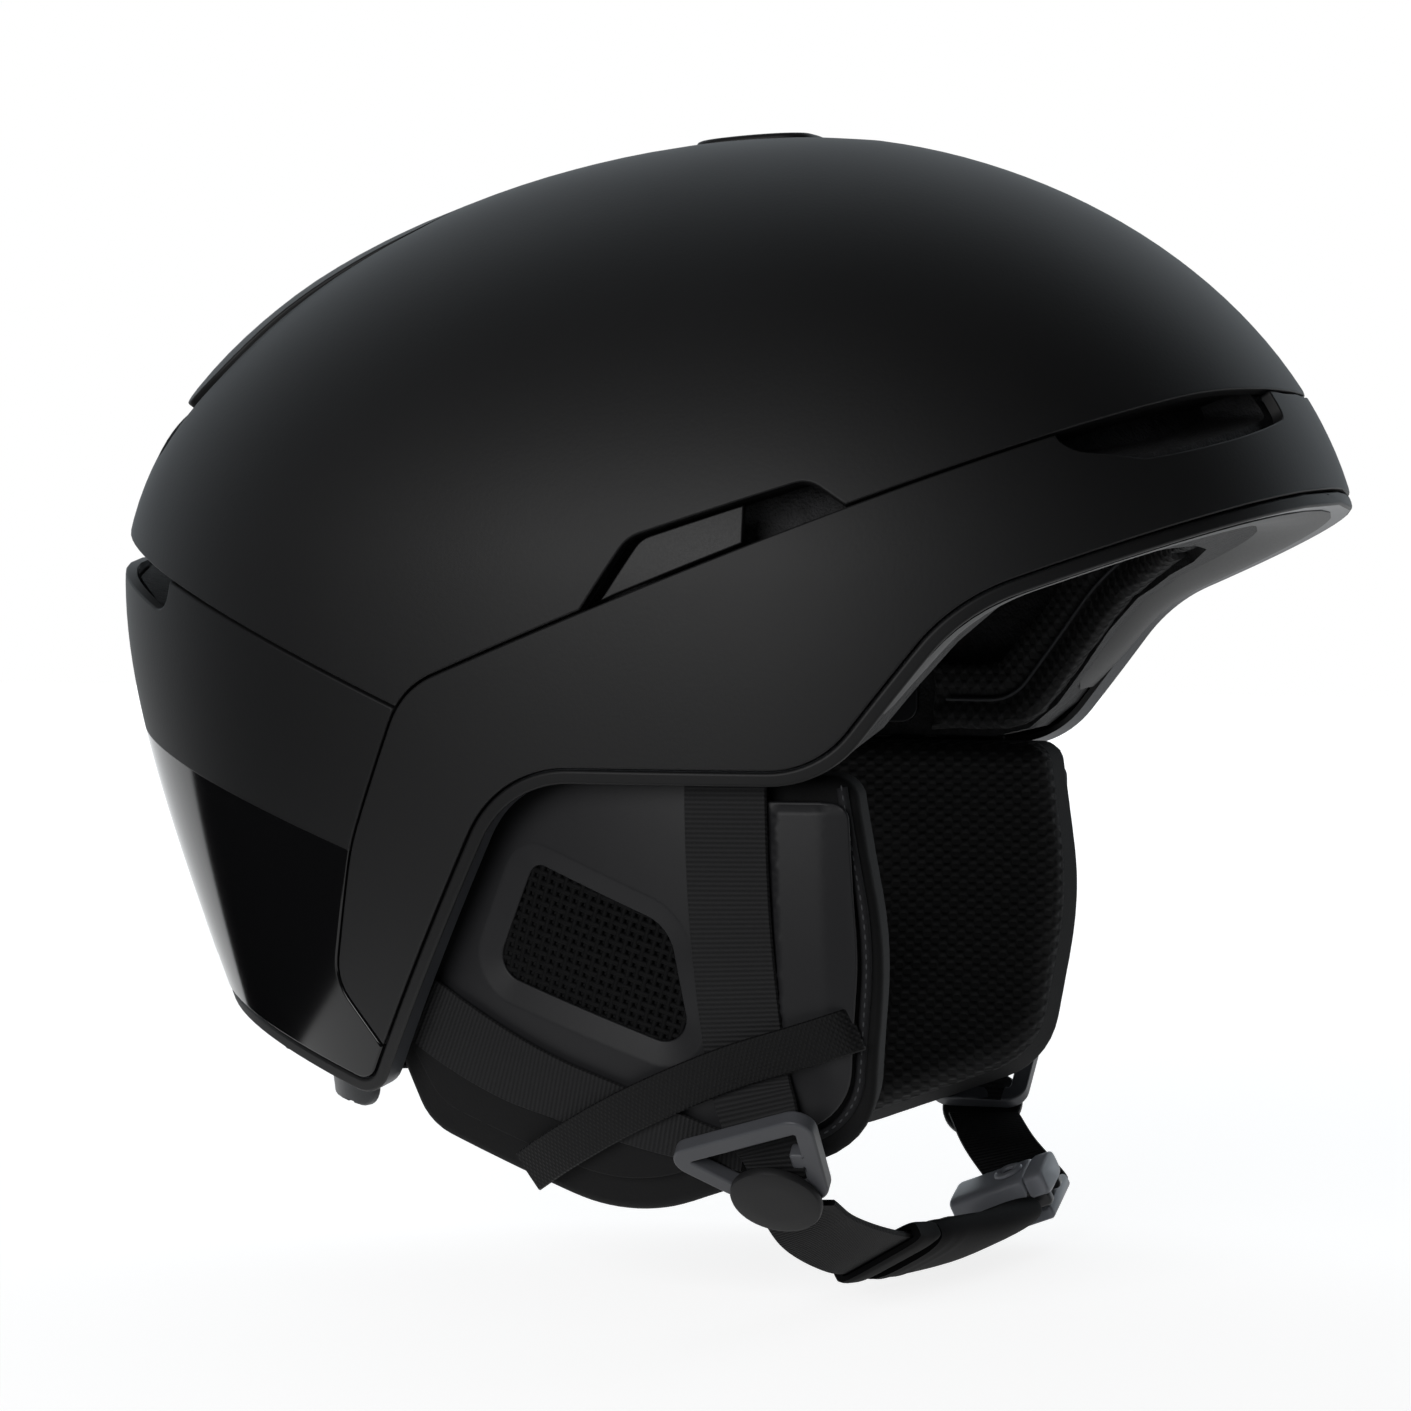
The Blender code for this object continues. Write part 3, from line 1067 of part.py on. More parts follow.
tongue_low = SOCKET_THICK / 2 + FIT
tongue_end = SOCKET_LENGTH + TONGUE_REACH
tongue_place = buckle @ Matrix.Translation((0, 0, tongue_low))
buckle_tongue = box("buckle_tongue", (0.002, -half_width + 0.0015, 0), (tongue_end, half_width - 0.0015, TONGUE_THICK),
                    BUCKLE_GREY, BUCKLE_ROUND, tongue_place)
cut(buckle_tongue, prism("tongue_eye", [[
    (SOCKET_LENGTH + 0.001, -half_width + 0.0045, 0.0018), (tongue_end - TONGUE_BAR, -half_width + 0.0045, 0.0018),
    (tongue_end - TONGUE_BAR, half_width - 0.0045, 0.0018), (SOCKET_LENGTH + 0.001, half_width - 0.0045, 0.0018)]],
    "Z", -0.01, 0.01, place=tongue_place))
join(buckle_tongue, box("tongue_key", (key_middle - KEY_WIDTH / 2, -half_width + 0.0045, -KEY_HEIGHT - FIT),
                        (key_middle + KEY_WIDTH / 2, half_width - 0.0045, 0.001), place=tongue_place))

tongue_bar = tongue_place @ Vector((tongue_end + 2 * FIT, 0, TONGUE_THICK / 2))
left_path = [(tongue_bar, tuple(strap_width)[1:]), (tongue_bar + strap_run * 0.003, tuple(strap_width)[1:]),
             *chin_left]
band("chin_strap_left", left_path, web_section, 0, 3, 9, WEBBING)
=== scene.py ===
import math
from collections import namedtuple

import bmesh
import bpy
import numpy as np
from mathutils import Matrix, Vector, geometry, kdtree


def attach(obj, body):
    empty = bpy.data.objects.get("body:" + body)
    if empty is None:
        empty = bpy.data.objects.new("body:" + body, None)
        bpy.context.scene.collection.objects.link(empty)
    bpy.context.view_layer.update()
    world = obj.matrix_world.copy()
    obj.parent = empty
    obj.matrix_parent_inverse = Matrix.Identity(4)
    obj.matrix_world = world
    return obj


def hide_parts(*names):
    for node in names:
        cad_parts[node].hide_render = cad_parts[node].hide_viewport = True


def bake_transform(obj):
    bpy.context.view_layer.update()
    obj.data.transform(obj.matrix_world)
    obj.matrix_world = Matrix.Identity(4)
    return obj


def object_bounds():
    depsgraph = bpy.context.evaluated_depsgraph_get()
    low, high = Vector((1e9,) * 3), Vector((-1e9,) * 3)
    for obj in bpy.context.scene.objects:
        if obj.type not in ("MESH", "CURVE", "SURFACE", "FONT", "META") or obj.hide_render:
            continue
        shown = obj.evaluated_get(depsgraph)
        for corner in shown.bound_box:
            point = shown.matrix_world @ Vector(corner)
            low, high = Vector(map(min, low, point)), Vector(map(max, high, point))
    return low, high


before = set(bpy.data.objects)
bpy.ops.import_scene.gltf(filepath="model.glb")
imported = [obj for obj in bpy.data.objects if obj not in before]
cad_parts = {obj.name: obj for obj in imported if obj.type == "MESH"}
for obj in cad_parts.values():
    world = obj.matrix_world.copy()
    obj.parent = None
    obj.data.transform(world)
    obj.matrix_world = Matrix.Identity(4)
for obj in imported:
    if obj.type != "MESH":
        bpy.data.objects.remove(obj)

solid_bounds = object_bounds()
scene = bpy.context.scene


# Foam liner: expanded polystyrene beads, steam-moulded in one piece, black all through.
# The air channels and pockets are moulded in, so the frame's own solid stays and only gets its finish.

def colour(code):
    """Return a hex sRGB colour as linear red, green, blue and full alpha."""
    shares = [int(code[start:start + 2], 16) / 255 for start in (1, 3, 5)]
    return (*[s / 12.92 if s <= 0.04045 else ((s + 0.055) / 1.055) ** 2.4 for s in shares], 1.0)


def fill(tree, made, inputs):
    """Set a node's inputs; each is a value or another node's output."""
    for name, value in inputs.items():
        if isinstance(value, bpy.types.NodeSocket):
            tree.links.new(value, made.inputs[name])
        else:
            made.inputs[name].default_value = value


def node(tree, kind, inputs=None, **settings):
    """Add a node with its settings and inputs."""
    made = tree.nodes.new(kind)
    for name, value in settings.items():
        setattr(made, name, value)
    fill(tree, made, inputs or {})
    return made


def start_finish(name):
    """Return a new material, its node tree and its surface."""
    finish = bpy.data.materials.new(name)
    finish.use_nodes = True
    return finish, finish.node_tree, finish.node_tree.nodes["Principled BSDF"]


def coat(tree, surface, tones, share, height, strength, depth, inputs):
    """Blend a surface between two tones by a share, bump it by a height and set its other inputs."""
    tone = node(tree, "ShaderNodeMix", {"Factor": share, "A": colour(tones[0]), "B": colour(tones[1])},
                data_type="RGBA")
    bumps = node(tree, "ShaderNodeBump", {"Strength": strength, "Distance": depth, "Height": height})
    fill(tree, surface, {"Base Color": tone.outputs["Result"], "Normal": bumps.outputs["Normal"], **inputs})


def bead_foam():
    """Moulded beads: 3 mm cells with rounded tops and pale, worn edges between them."""
    finish, tree, surface = start_finish("moulded_bead_foam")
    places = node(tree, "ShaderNodeTexCoord").outputs["Object"]
    cells = node(tree, "ShaderNodeTexVoronoi", {"Vector": places, "Scale": 1 / 0.003, "Randomness": 0.9})
    grain = node(tree, "ShaderNodeTexNoise", {"Vector": places, "Scale": 1 / 0.0007, "Detail": 3.0})
    height = node(tree, "ShaderNodeMath", {0: cells.outputs["Distance"], 1: -0.7, 2: grain.outputs["Fac"]},
                  operation="MULTIPLY_ADD")
    coat(tree, surface, ("#141415", "#242426"), cells.outputs["Distance"], height.outputs["Value"],
         strength=0.7, depth=0.0006, inputs={"Roughness": 0.72, "Specular IOR Level": 0.35})
    return finish


corner_angle = math.radians(34)
sharp_angle = math.radians(40)


def start_tree(name, **inputs):
    """Return a new geometry tree, with inputs given by name and kind, and the node that hands them on."""
    tree = bpy.data.node_groups.new(name, "GeometryNodeTree")
    for socket, kind in {"Geometry": "Geometry", **inputs}.items():
        tree.interface.new_socket(socket, in_out="INPUT", socket_type=f"NodeSocket{kind}")
    tree.interface.new_socket("Geometry", in_out="OUTPUT", socket_type="NodeSocketGeometry")
    return tree, node(tree, "NodeGroupInput")


def soft_shading():
    """Return a tree that welds a solid's loose triangles and smooths all but its corners."""
    tree, given = start_tree("soft_shading", Corner="Float")
    tree.interface.items_tree["Corner"].default_value = corner_angle
    welded = node(tree, "GeometryNodeMergeByDistance", {"Geometry": given.outputs[0], "Distance": 0.000005})
    smooth = node(tree, "GeometryNodeSetShadeSmooth", {"Geometry": welded.outputs[0], "Shade Smooth": True})
    angle = node(tree, "GeometryNodeInputMeshEdgeAngle")
    sharp = node(tree, "FunctionNodeCompare",
                 {0: angle.outputs["Unsigned Angle"], 1: given.outputs["Corner"]}, operation="GREATER_THAN")
    edged = node(tree, "GeometryNodeSetShadeSmooth",
                 {"Geometry": smooth.outputs[0], "Selection": sharp.outputs[0], "Shade Smooth": False},
                 domain="EDGE")
    node(tree, "NodeGroupOutput", {0: edged.outputs[0]})
    return tree


shading_tree = soft_shading()


def finish_solid(name, finish, rounding=0.0):
    """Give a solid of the frame its finish, smooth shading and, where asked, rounded edges."""
    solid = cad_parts[name]
    solid.data.materials.clear()
    solid.data.materials.append(finish)
    solid.modifiers.new("soft_shading", "NODES").node_group = shading_tree
    if rounding:
        edge = solid.modifiers.new("rounding", "BEVEL")
        edge.width = rounding
        edge.segments = 2
        edge.limit_method = "ANGLE"
        edge.angle_limit = sharp_angle
        edge.harden_normals = True
    return solid


finish_solid("eps_liner", bead_foam())


# Hard shell: panels of ABS, vacuum-formed on one egg-shaped form, painted matte black and glued to the liner.
# Upper shell over the crown, brim shell round the front, rear shell round the back, with 0.5 mm seams.

Form = namedtuple("Form", "half_width front back crown taper")
shell_form = Form(0.110, 0.126, 0.161, 0.101, 2.6)
centre_y = -0.0245
widest_z = 0.069
form_depth = 0.135
taper_start = 0.0465
plan_power = 2.2
arch_power = 1.9
shell_wall = 0.0025
seam = 0.0005
shell_edge = 0.0005
far = 0.25

brow_y, brow_z = -0.0886, 0.063
brim_slope = 0.388
rim = [(-far, brow_z + brim_slope * (far + brow_y), 0), (brow_y, brow_z, 0.040), (-0.060, 0.027, 0.025),
       (0.0095, 0.027, 0.025), (0.051, -0.045, 0.008), (far, 0.0187, 0), (far, far, 0), (-far, far, 0)]
hem_height = 0.003
hem_gap = 0.0004
band = [(-far, 0.111, 0), (-0.131, 0.1104, 0.040), (0.0335, 0.0463, 0.020), (0.050, 0.012, 0.060),
        (0.0585, -0.018, 0.010), (0.038, -0.044, 0), (0.038, -far, 0), (-far, -far, 0)]
rear_y, rear_z = 0.020, 0.0359
rear_slope = 0.41
rear = [(rear_y, rear_z, 0), (rear_y, -far, 0), (far, -far, 0),
        (far, rear_z + rear_slope * (far - rear_y), 0)]
side_vent = [(-0.0665, 0.0840, 0), (-0.0570, 0.0905, 0.006), (-0.0195, 0.0785, 0.008), (-0.0060, 0.0590, 0)]
rear_vent = [(0.0985, 0.075, 0), (0.1035, 0.0615, 0.004), (far, 0.1215, 0), (far, 0.140, 0)]
front_vent = [(0.0215, far, 0), (0.0215, 0.1045, 0.003), (0.070, 0.0950, 0.006), (0.082, 0.0965, 0.003),
              (0.082, far, 0)]
spine_window = [(-0.036, 0.050, 0.014), (0.036, 0.050, 0.014), (0.052, 0.098, 0.016),
                (0.047, 0.1185, 0.008), (-0.047, 0.1185, 0.008), (-0.052, 0.098, 0.016)]
clip_window = [(-0.0385, -0.06, 0), (0.0385, -0.06, 0), (0.0385, -0.0055, 0.005), (-0.0385, -0.0055, 0.005)]


def rectangle(low, high, radius):
    """Return the corners of a rectangle, all with one radius."""
    return [(low[0], low[1], radius), (high[0], low[1], radius), (high[0], high[1], radius),
            (low[0], high[1], radius)]


slider_bed = rectangle((-0.014, -0.0435), (0.014, 0.0025), 0.008)
arc_degrees = 12
arc_step = 0.002
least_radius = 0.0002
outline_step = 0.003
halvings = 30


def rounded(corners):
    """Return an outline's points, with an arc in each corner that has a radius."""
    points = []
    for index, (across, up, radius) in enumerate(corners):
        here = Vector((across, up))
        if radius == 0:
            points.append(here)
            continue
        back = (Vector(corners[index - 1][:2]) - here).normalized()
        ahead = (Vector(corners[(index + 1) % len(corners)][:2]) - here).normalized()
        half = back.angle(ahead) / 2
        centre = here + (back + ahead).normalized() * (radius / math.sin(half))
        start = here + back * (radius / math.tan(half)) - centre
        end = here + ahead * (radius / math.tan(half)) - centre
        first = math.atan2(start.y, start.x)
        turn = math.remainder(math.atan2(end.y, end.x) - first, math.tau)
        by_turn = math.ceil(abs(math.degrees(turn)) / arc_degrees)
        steps = max(2, by_turn, math.ceil(abs(turn) * radius / arc_step))
        for index_in_arc in range(steps + 1):
            angle = first + turn * index_in_arc / steps
            points.append(centre + Vector((math.cos(angle), math.sin(angle))) * radius)
    return points


def grown(corners, distance):
    """Return the corners moved outwards by a distance, with radii to match."""
    flat = [Vector(corner[:2]) for corner in corners]
    facing = math.copysign(1, sum(flat[i - 1].cross(flat[i]) for i in range(len(flat))))
    moved = []
    for index, here in enumerate(flat):
        arrive = (here - flat[index - 1]).normalized()
        leave = (flat[(index + 1) % len(flat)] - here).normalized()
        out_a = Vector((arrive.y, -arrive.x)) * facing
        out_b = Vector((leave.y, -leave.x)) * facing
        place = here + (out_a + out_b) * (distance / (1 + out_a.dot(out_b)))
        bulge = math.copysign(1, arrive.cross(leave) * facing)
        radius = corners[index][2]
        moved.append((place.x, place.y, max(radius + bulge * distance, least_radius) if radius else 0))
    return moved


def mirrored(corners):
    """Return an outline's mirror image across the middle plane."""
    return [(-across, up, radius) for across, up, radius in reversed(corners)]


def within(spots, corners):
    """Say which of many flat spots lie inside an outline."""
    outline = np.array([tuple(point) for point in rounded(corners)])
    across, up = spots[:, 0], spots[:, 1]
    inside = np.zeros(len(spots), bool)
    for (x0, y0), (x1, y1) in zip(outline, np.roll(outline, -1, axis=0)):
        if y0 != y1:
            inside ^= ((y0 > up) != (y1 > up)) & (across < x0 + (up - y0) * (x1 - x0) / (y1 - y0))
    return inside


def on_form(form, inset, flat):
    """Return a form's points and normals for spots of its flat map, which has the crown in its middle."""
    radius = np.maximum(np.hypot(flat[:, 0], flat[:, 1]), 1e-9)
    polar = np.minimum(radius, 1) * math.pi / 2
    low = radius > 1
    rise = np.where(low, 0, np.maximum(np.cos(polar), 0) ** (2 / arch_power))
    z = np.where(low, widest_z - form_depth * (radius - 1), widest_z + (form.crown - inset) * rise)
    slant = np.hypot(z - widest_z, taper_start)
    share = np.where(low, 1 - form.taper * (slant - taper_start), np.sin(polar) ** (2 / arch_power))
    across, along = flat[:, 0] / radius, flat[:, 1] / radius
    power = (np.abs(across) ** plan_power + np.abs(along) ** plan_power) ** (-1 / plan_power)
    wide = form.half_width - inset
    long = np.where(along > 0, form.back, form.front) - inset
    points = np.stack([share * power * wide * across, centre_y + share * power * long * along, z], axis=1)
    lean_x = np.sign(across) * np.abs(across * power) ** (plan_power - 1) / wide
    lean_y = np.sign(along) * np.abs(along * power) ** (plan_power - 1) / long
    flatten = np.where(low, 1, np.maximum(share, 1e-6) ** (arch_power - 1))
    lean_z = np.where(low, form.taper * (z - widest_z) / slant,
                      rise ** (arch_power - 1) / (form.crown - inset))
    normals = np.stack([flatten * lean_x, flatten * lean_y, lean_z], axis=1)
    return points, normals / np.linalg.norm(normals, axis=1, keepdims=True)


def flat_of(form, inset, point):
    """Return the place of a surface point on its form's flat map."""
    x, y, z = point
    if z >= widest_z:
        radius = math.acos(min(1, (z - widest_z) / (form.crown - inset)) ** (arch_power / 2)) * 2 / math.pi
    else:
        radius = 1 + (widest_z - z) / form_depth
    long = (form.back if y > centre_y else form.front) - inset
    turn = math.atan2((y - centre_y) / long, x / (form.half_width - inset))
    return radius * math.cos(turn), radius * math.sin(turn)


def third(form, inset, look, spot):
    """Return the point of a form that a flat spot meets, seen from a side, or None where it misses."""
    wide = form.half_width - inset
    if look == "top":
        long = (form.back if spot.y > centre_y else form.front) - inset
        ring = ((abs(spot.x) / wide) ** plan_power
                + (abs(spot.y - centre_y) / long) ** plan_power) ** (1 / plan_power)
        if ring >= 1:
            return None
        rise = (1 - ring ** arch_power) ** (1 / arch_power)
        return spot.x, spot.y, widest_z + (form.crown - inset) * rise
    z = spot.y
    if z > widest_z:
        share = max(0, 1 - ((z - widest_z) / (form.crown - inset)) ** arch_power) ** (1 / arch_power)
    else:
        share = 1 - form.taper * (math.hypot(z - widest_z, taper_start) - taper_start)
    if look in ("front", "back"):
        long = (form.back if look == "back" else form.front) - inset
        left = share ** plan_power - (abs(spot.x) / wide) ** plan_power
        if left < 0:
            return None
        return spot.x, centre_y + long * left ** (1 / plan_power) * (1 if look == "back" else -1), z
    long = (form.back if spot.x > centre_y else form.front) - inset
    left = share ** plan_power - (abs(spot.x - centre_y) / long) ** plan_power
    if share <= 0 or left < 0:
        return None
    return wide * left ** (1 / plan_power), spot.x, z


def stepped(corners, step):
    """Return spots along an outline, no more than a step apart, ending where they began."""
    outline = rounded(corners)
    spots = []
    for a, b in zip(outline, outline[1:] + outline[:1]):
        count = max(1, math.ceil((b - a).length / step))
        spots += [a.lerp(b, index / count) for index in range(count)]
    return [*spots, spots[0]]


def trace(form, inset, corners, look="side"):
    """Return chains of flat-map points where an outline, seen from a side, runs over a form."""
    spots = stepped(corners, outline_step)
    chains, chain, before = [], [], None
    for spot in spots:
        point = third(form, inset, look, spot)
        if before is not None and (point is None) != (third(form, inset, look, before) is None):
            on, off = (before, spot) if point is None else (spot, before)
            for _ in range(halvings):
                middle = (on + off) / 2
                if third(form, inset, look, middle) is None:
                    off = middle
                else:
                    on = middle
            x, y, z = third(form, inset, look, on)
            chain.append((0.0, y, z) if look == "side" else (x, y, z))
        if point is None:
            chains.append(chain)
            chain = []
        else:
            chain.append(point)
        before = spot
    chains = [chain for chain in chains + [chain] if len(chain) > 1]
    if look == "side":
        chains += [[(-x, y, z) for x, y, z in chain] for chain in chains]
    return [[flat_of(form, inset, point) for point in chain] for chain in chains]


def side(points):
    """Return points as they are seen from the side."""
    return points[:, 1:3]


def seen_within(points, look, corners):
    """Say which points lie inside an outline, on the side of the helmet that it is drawn on."""
    if look == "side":
        return within(side(points), corners)
    if look == "top":
        return within(points[:, :2], corners) & (points[:, 2] > widest_z)
    near = points[:, 1] > centre_y if look == "back" else points[:, 1] < centre_y
    return within(points[:, [0, 2]], corners) & near


def region(form, inset, held, cut, facing):
    """Return the chains of a region, and a test for its points.

    It lies inside the outlines that are held and outside those that are cut, each listed by its look;
    where a facing is given, it keeps to that side of the middle plane."""
    kept = [(look, corners) for look, outlines in held.items() for corners in outlines]
    lost = [(look, corners) for look, outlines in (cut or {}).items() for corners in outlines]

    def belongs(points):
        inside = points[:, 0] * facing >= 0
        for look, corners in kept:
            inside &= seen_within(points, look, corners)
        for look, corners in lost:
            inside &= ~seen_within(points, look, corners)
        return inside

    return [chain for look, corners in kept + lost for chain in trace(form, inset, corners, look)], belongs


def add_piece(name, points, faces, finish, normals=None, uv=None):
    """Add a mesh as a piece, with its own normals and UV map where they are given."""
    mesh = bpy.data.meshes.new(name)
    mesh.from_pydata([tuple(point) for point in points], [], faces)
    mesh.materials.append(finish)
    mesh.shade_smooth()
    if uv is not None:
        layer = mesh.uv_layers.new(name="UVMap")
        corners = np.empty(len(mesh.loops), int)
        mesh.loops.foreach_get("vertex_index", corners)
        layer.uv.foreach_set("vector", np.asarray(uv, float)[corners].ravel())
    if normals is not None:
        mesh.normals_split_custom_set_from_vertices([tuple(normal) for normal in normals])
    else:
        shape = bmesh.new()
        shape.from_mesh(mesh)
        bmesh.ops.remove_doubles(shape, verts=shape.verts, dist=merge_distance)
        bmesh.ops.recalc_face_normals(shape, faces=shape.faces)
        shape.to_mesh(mesh)
        shape.free()
        mesh.set_sharp_from_angle(angle=sharp_angle)
    piece = bpy.data.objects.new(name, mesh)
    scene.collection.objects.link(piece)
    return piece


def open_edges(faces):
    """Return the edges that one face alone has, as pairs of points in the order of their numbers."""
    steps = {(a, b) for face in faces.tolist() for a, b in zip(face, face[1:] + face[:1])}
    return [(a, b) for a, b in sorted(steps) if (b, a) not in steps]


def nearest_of(points):
    """Return a tree that finds the nearest of the given points."""
    tree = kdtree.KDTree(len(points))
    for number, point in enumerate(points):
        tree.insert(point, number)
    tree.balance()
    return tree


row_share = 0.866
clear_share = 0.6
sliver_share = 0.001
merge_distance = 1e-7
mitre_limit = 0.4
whole_map = ((-2.0, -2.0), (2.0, 2.0))


def mesh_region(chains, belongs, place, pitch, reach):
    """Triangulate a flat map along chains; keep what belongs, with points about a pitch apart inside.

    Slivers on the border are left out, as they would fold when the border is rounded."""
    spots, edges, known = [], [], {}
    for chain in chains:
        numbers = []
        for u, v in chain:
            key = (round(u, 8), round(v, 8))
            if key not in known:
                known[key] = len(spots)
                spots.append(key)
            numbers.append(known[key])
        edges += [(a, b) for a, b in zip(numbers, numbers[1:]) if a != b]
    tree = nearest_of([(u, v, 0) for u, v in spots])
    (low_u, low_v), (high_u, high_v) = reach
    rows = np.arange(low_v, high_v, pitch * row_share)
    seeds = np.array([(u + (row % 2) * pitch / 2, v) for row, v in enumerate(rows)
                      for u in np.arange(low_u, high_u, pitch)])
    seeds = seeds[belongs(place(seeds)[0])]
    seeds = [(u, v) for u, v in seeds if tree.find((u, v, 0))[2] > clear_share * pitch]
    spots = [Vector(spot) for spot in spots + seeds]
    flat, _, faces, *_ = geometry.delaunay_2d_cdt(spots, edges, [], 0, merge_distance)
    flat = np.array([tuple(spot) for spot in flat])
    faces = np.array([tuple(face) for face in faces if len(face) == 3])
    middles = flat[faces].mean(axis=1)
    faces = faces[belongs(place(middles)[0])]
    runs = flat[faces] - np.roll(flat[faces], 1, axis=1)
    doubled = np.abs(runs[:, 0, 0] * runs[:, 1, 1] - runs[:, 0, 1] * runs[:, 1, 0])
    slivers = doubled < sliver_share * (runs ** 2).sum(axis=2).max(axis=1)
    border = set(open_edges(faces))
    on_border = [any(edge in border for edge in zip(face, face[1:] + face[:1])) for face in faces.tolist()]
    faces = faces[~(slivers & np.array(on_border))]
    used, faces = np.unique(faces, return_inverse=True)
    return flat[used], faces.reshape(-1, 3)


def summed_normals(points, faces):
    """Return the normal of each point, summed over its triangles."""
    a, b, c = (points[faces[:, corner]] for corner in range(3))
    turns = np.cross(b - a, c - a)
    normals = np.zeros_like(points)
    for corner in range(3):
        np.add.at(normals, faces[:, corner], turns)
    return normals / np.maximum(np.linalg.norm(normals, axis=1, keepdims=True), 1e-15)


def shell_piece(name, flat, faces, place, wall, edge, finish, relief=None, under=None, uv=None,
                back_edge=0.0, swell=0.0):
    """Make a closed piece of a wall over triangles of a flat map, with relief on its face and rounded edges.

    The edges are rounded within the map's outline, or stand out from it by the swell."""
    base, base_normals = place(flat)
    points, normals = base.copy(), base_normals
    if relief is not None:
        points += normals * relief[:, None]
        normals = summed_normals(points, faces)
    count = len(points)
    border = open_edges(faces)
    ahead = dict(border)
    behind = {end: start for start, end in border}
    rim_numbers = sorted(ahead)
    row_of = {number: index for index, number in enumerate(rim_numbers)}
    inward = np.zeros((len(rim_numbers), 3))
    for index, number in enumerate(rim_numbers):
        sides_of = []
        for start, end in ((behind[number], number), (number, ahead[number])):
            across = np.cross(normals[number], points[end] - points[start])
            sides_of.append(across / max(np.linalg.norm(across), 1e-12))
        inward[index] = (sides_of[0] + sides_of[1]) / max(1 + sides_of[0] @ sides_of[1], mitre_limit)
    rim_points, rim_normals = points[rim_numbers].copy(), normals[rim_numbers]
    depth = np.full((len(rim_numbers), 1), wall) + (0 if relief is None else relief[rim_numbers][:, None])
    bends = [(turn, edge, 0.0) for turn in (0, 30, 60, 90)]
    if back_edge:
        bends += [(turn, back_edge, depth - 2 * back_edge) for turn in (90, 120, 150, 180)]
    else:
        bends.append((90, 0.0, depth))
    rows, row_normals = [], []
    for turn, radius, drop in bends:
        bend = math.radians(turn)
        rows.append(rim_points + inward * (radius * (1 - math.sin(bend)) - swell)
                    - rim_normals * (drop + radius * (1 - math.cos(bend))))
        row_normals.append(rim_normals * math.cos(bend) - inward * math.sin(bend))
    points[rim_numbers] = rows[0]
    everything = np.concatenate([points, *rows[1:], base - base_normals * wall])
    every_normal = np.concatenate([normals, *row_normals[1:], -base_normals])
    last = len(rows) - 1
    inner_start = count + last * len(rim_numbers)

    def numbered(row, number):
        return number if row == 0 else count + (row - 1) * len(rim_numbers) + row_of[number]

    solid = faces.tolist()
    for start, end in border:
        solid += [(numbered(row, start), numbered(row + 1, start), numbered(row + 1, end),
                   numbered(row, end)) for row in range(last)]
    solid += [[numbered(last, number) if number in row_of else inner_start + number
               for number in reversed(face)] for face in faces.tolist()]
    if uv is not None:
        along = uv[[ahead[number] for number in rim_numbers]] - uv[[behind[number] for number in rim_numbers]]
        outward = np.stack([along[:, 1], -along[:, 0]], axis=1)
        outward /= np.maximum(np.linalg.norm(outward, axis=1, keepdims=True), 1e-12)
        reach = np.zeros((len(rim_numbers), 1))
        uv_rows = []
        for before, after in zip(rows, rows[1:]):
            reach = reach + np.linalg.norm(after - before, axis=1, keepdims=True)
            uv_rows.append(uv[rim_numbers] + outward * reach)
        uv = np.concatenate([uv, *uv_rows, uv])
    piece = add_piece(name, everything, solid, finish, every_normal, uv)
    if under is not None:
        piece.data.materials.append(under)
        wall_faces = range(len(faces), len(faces) + last * len(border))
        for number in wall_faces:
            piece.data.polygons[number].material_index = (number - len(faces)) % last == last - 1
    return piece


def shell_panel(name, wall, edge, finish, held, cut=None, facing=0, inset=0.0, pitch=0.028, relief=None,
                under=None):
    """Make one panel of the shell's form, inside the outlines held and outside those cut."""
    def place(flat):
        return on_form(shell_form, inset, flat)

    chains, belongs = region(shell_form, inset, held, cut, facing)
    flat, faces = mesh_region(chains, belongs, place, pitch, whole_map)
    height = None if relief is None else relief(place(flat)[0])
    return shell_piece(name, flat, faces, place, wall, edge, finish, height, under)


def matte_paint():
    """Matte paint on ABS: soft wide highlights and a fine pebble that breaks them up."""
    finish, tree, surface = start_finish("matte_painted_abs")
    places = node(tree, "ShaderNodeTexCoord").outputs["Object"]
    pebble = node(tree, "ShaderNodeTexNoise", {"Vector": places, "Scale": 1 / 0.0009, "Detail": 2.0})
    cloud = node(tree, "ShaderNodeTexNoise", {"Vector": places, "Scale": 1 / 0.045, "Detail": 2.0})
    gloss = node(tree, "ShaderNodeMapRange",
                 {"Value": cloud.outputs["Fac"], "To Min": 0.56, "To Max": 0.62})
    coat(tree, surface, ("#121213", "#161617"), cloud.outputs["Fac"], pebble.outputs["Fac"], strength=0.12,
         depth=0.0002, inputs={"Roughness": gloss.outputs["Result"], "Specular IOR Level": 0.38})
    return finish


lacquer_slope = 0.33
lacquer_low, lacquer_high = -0.0057, -0.0053


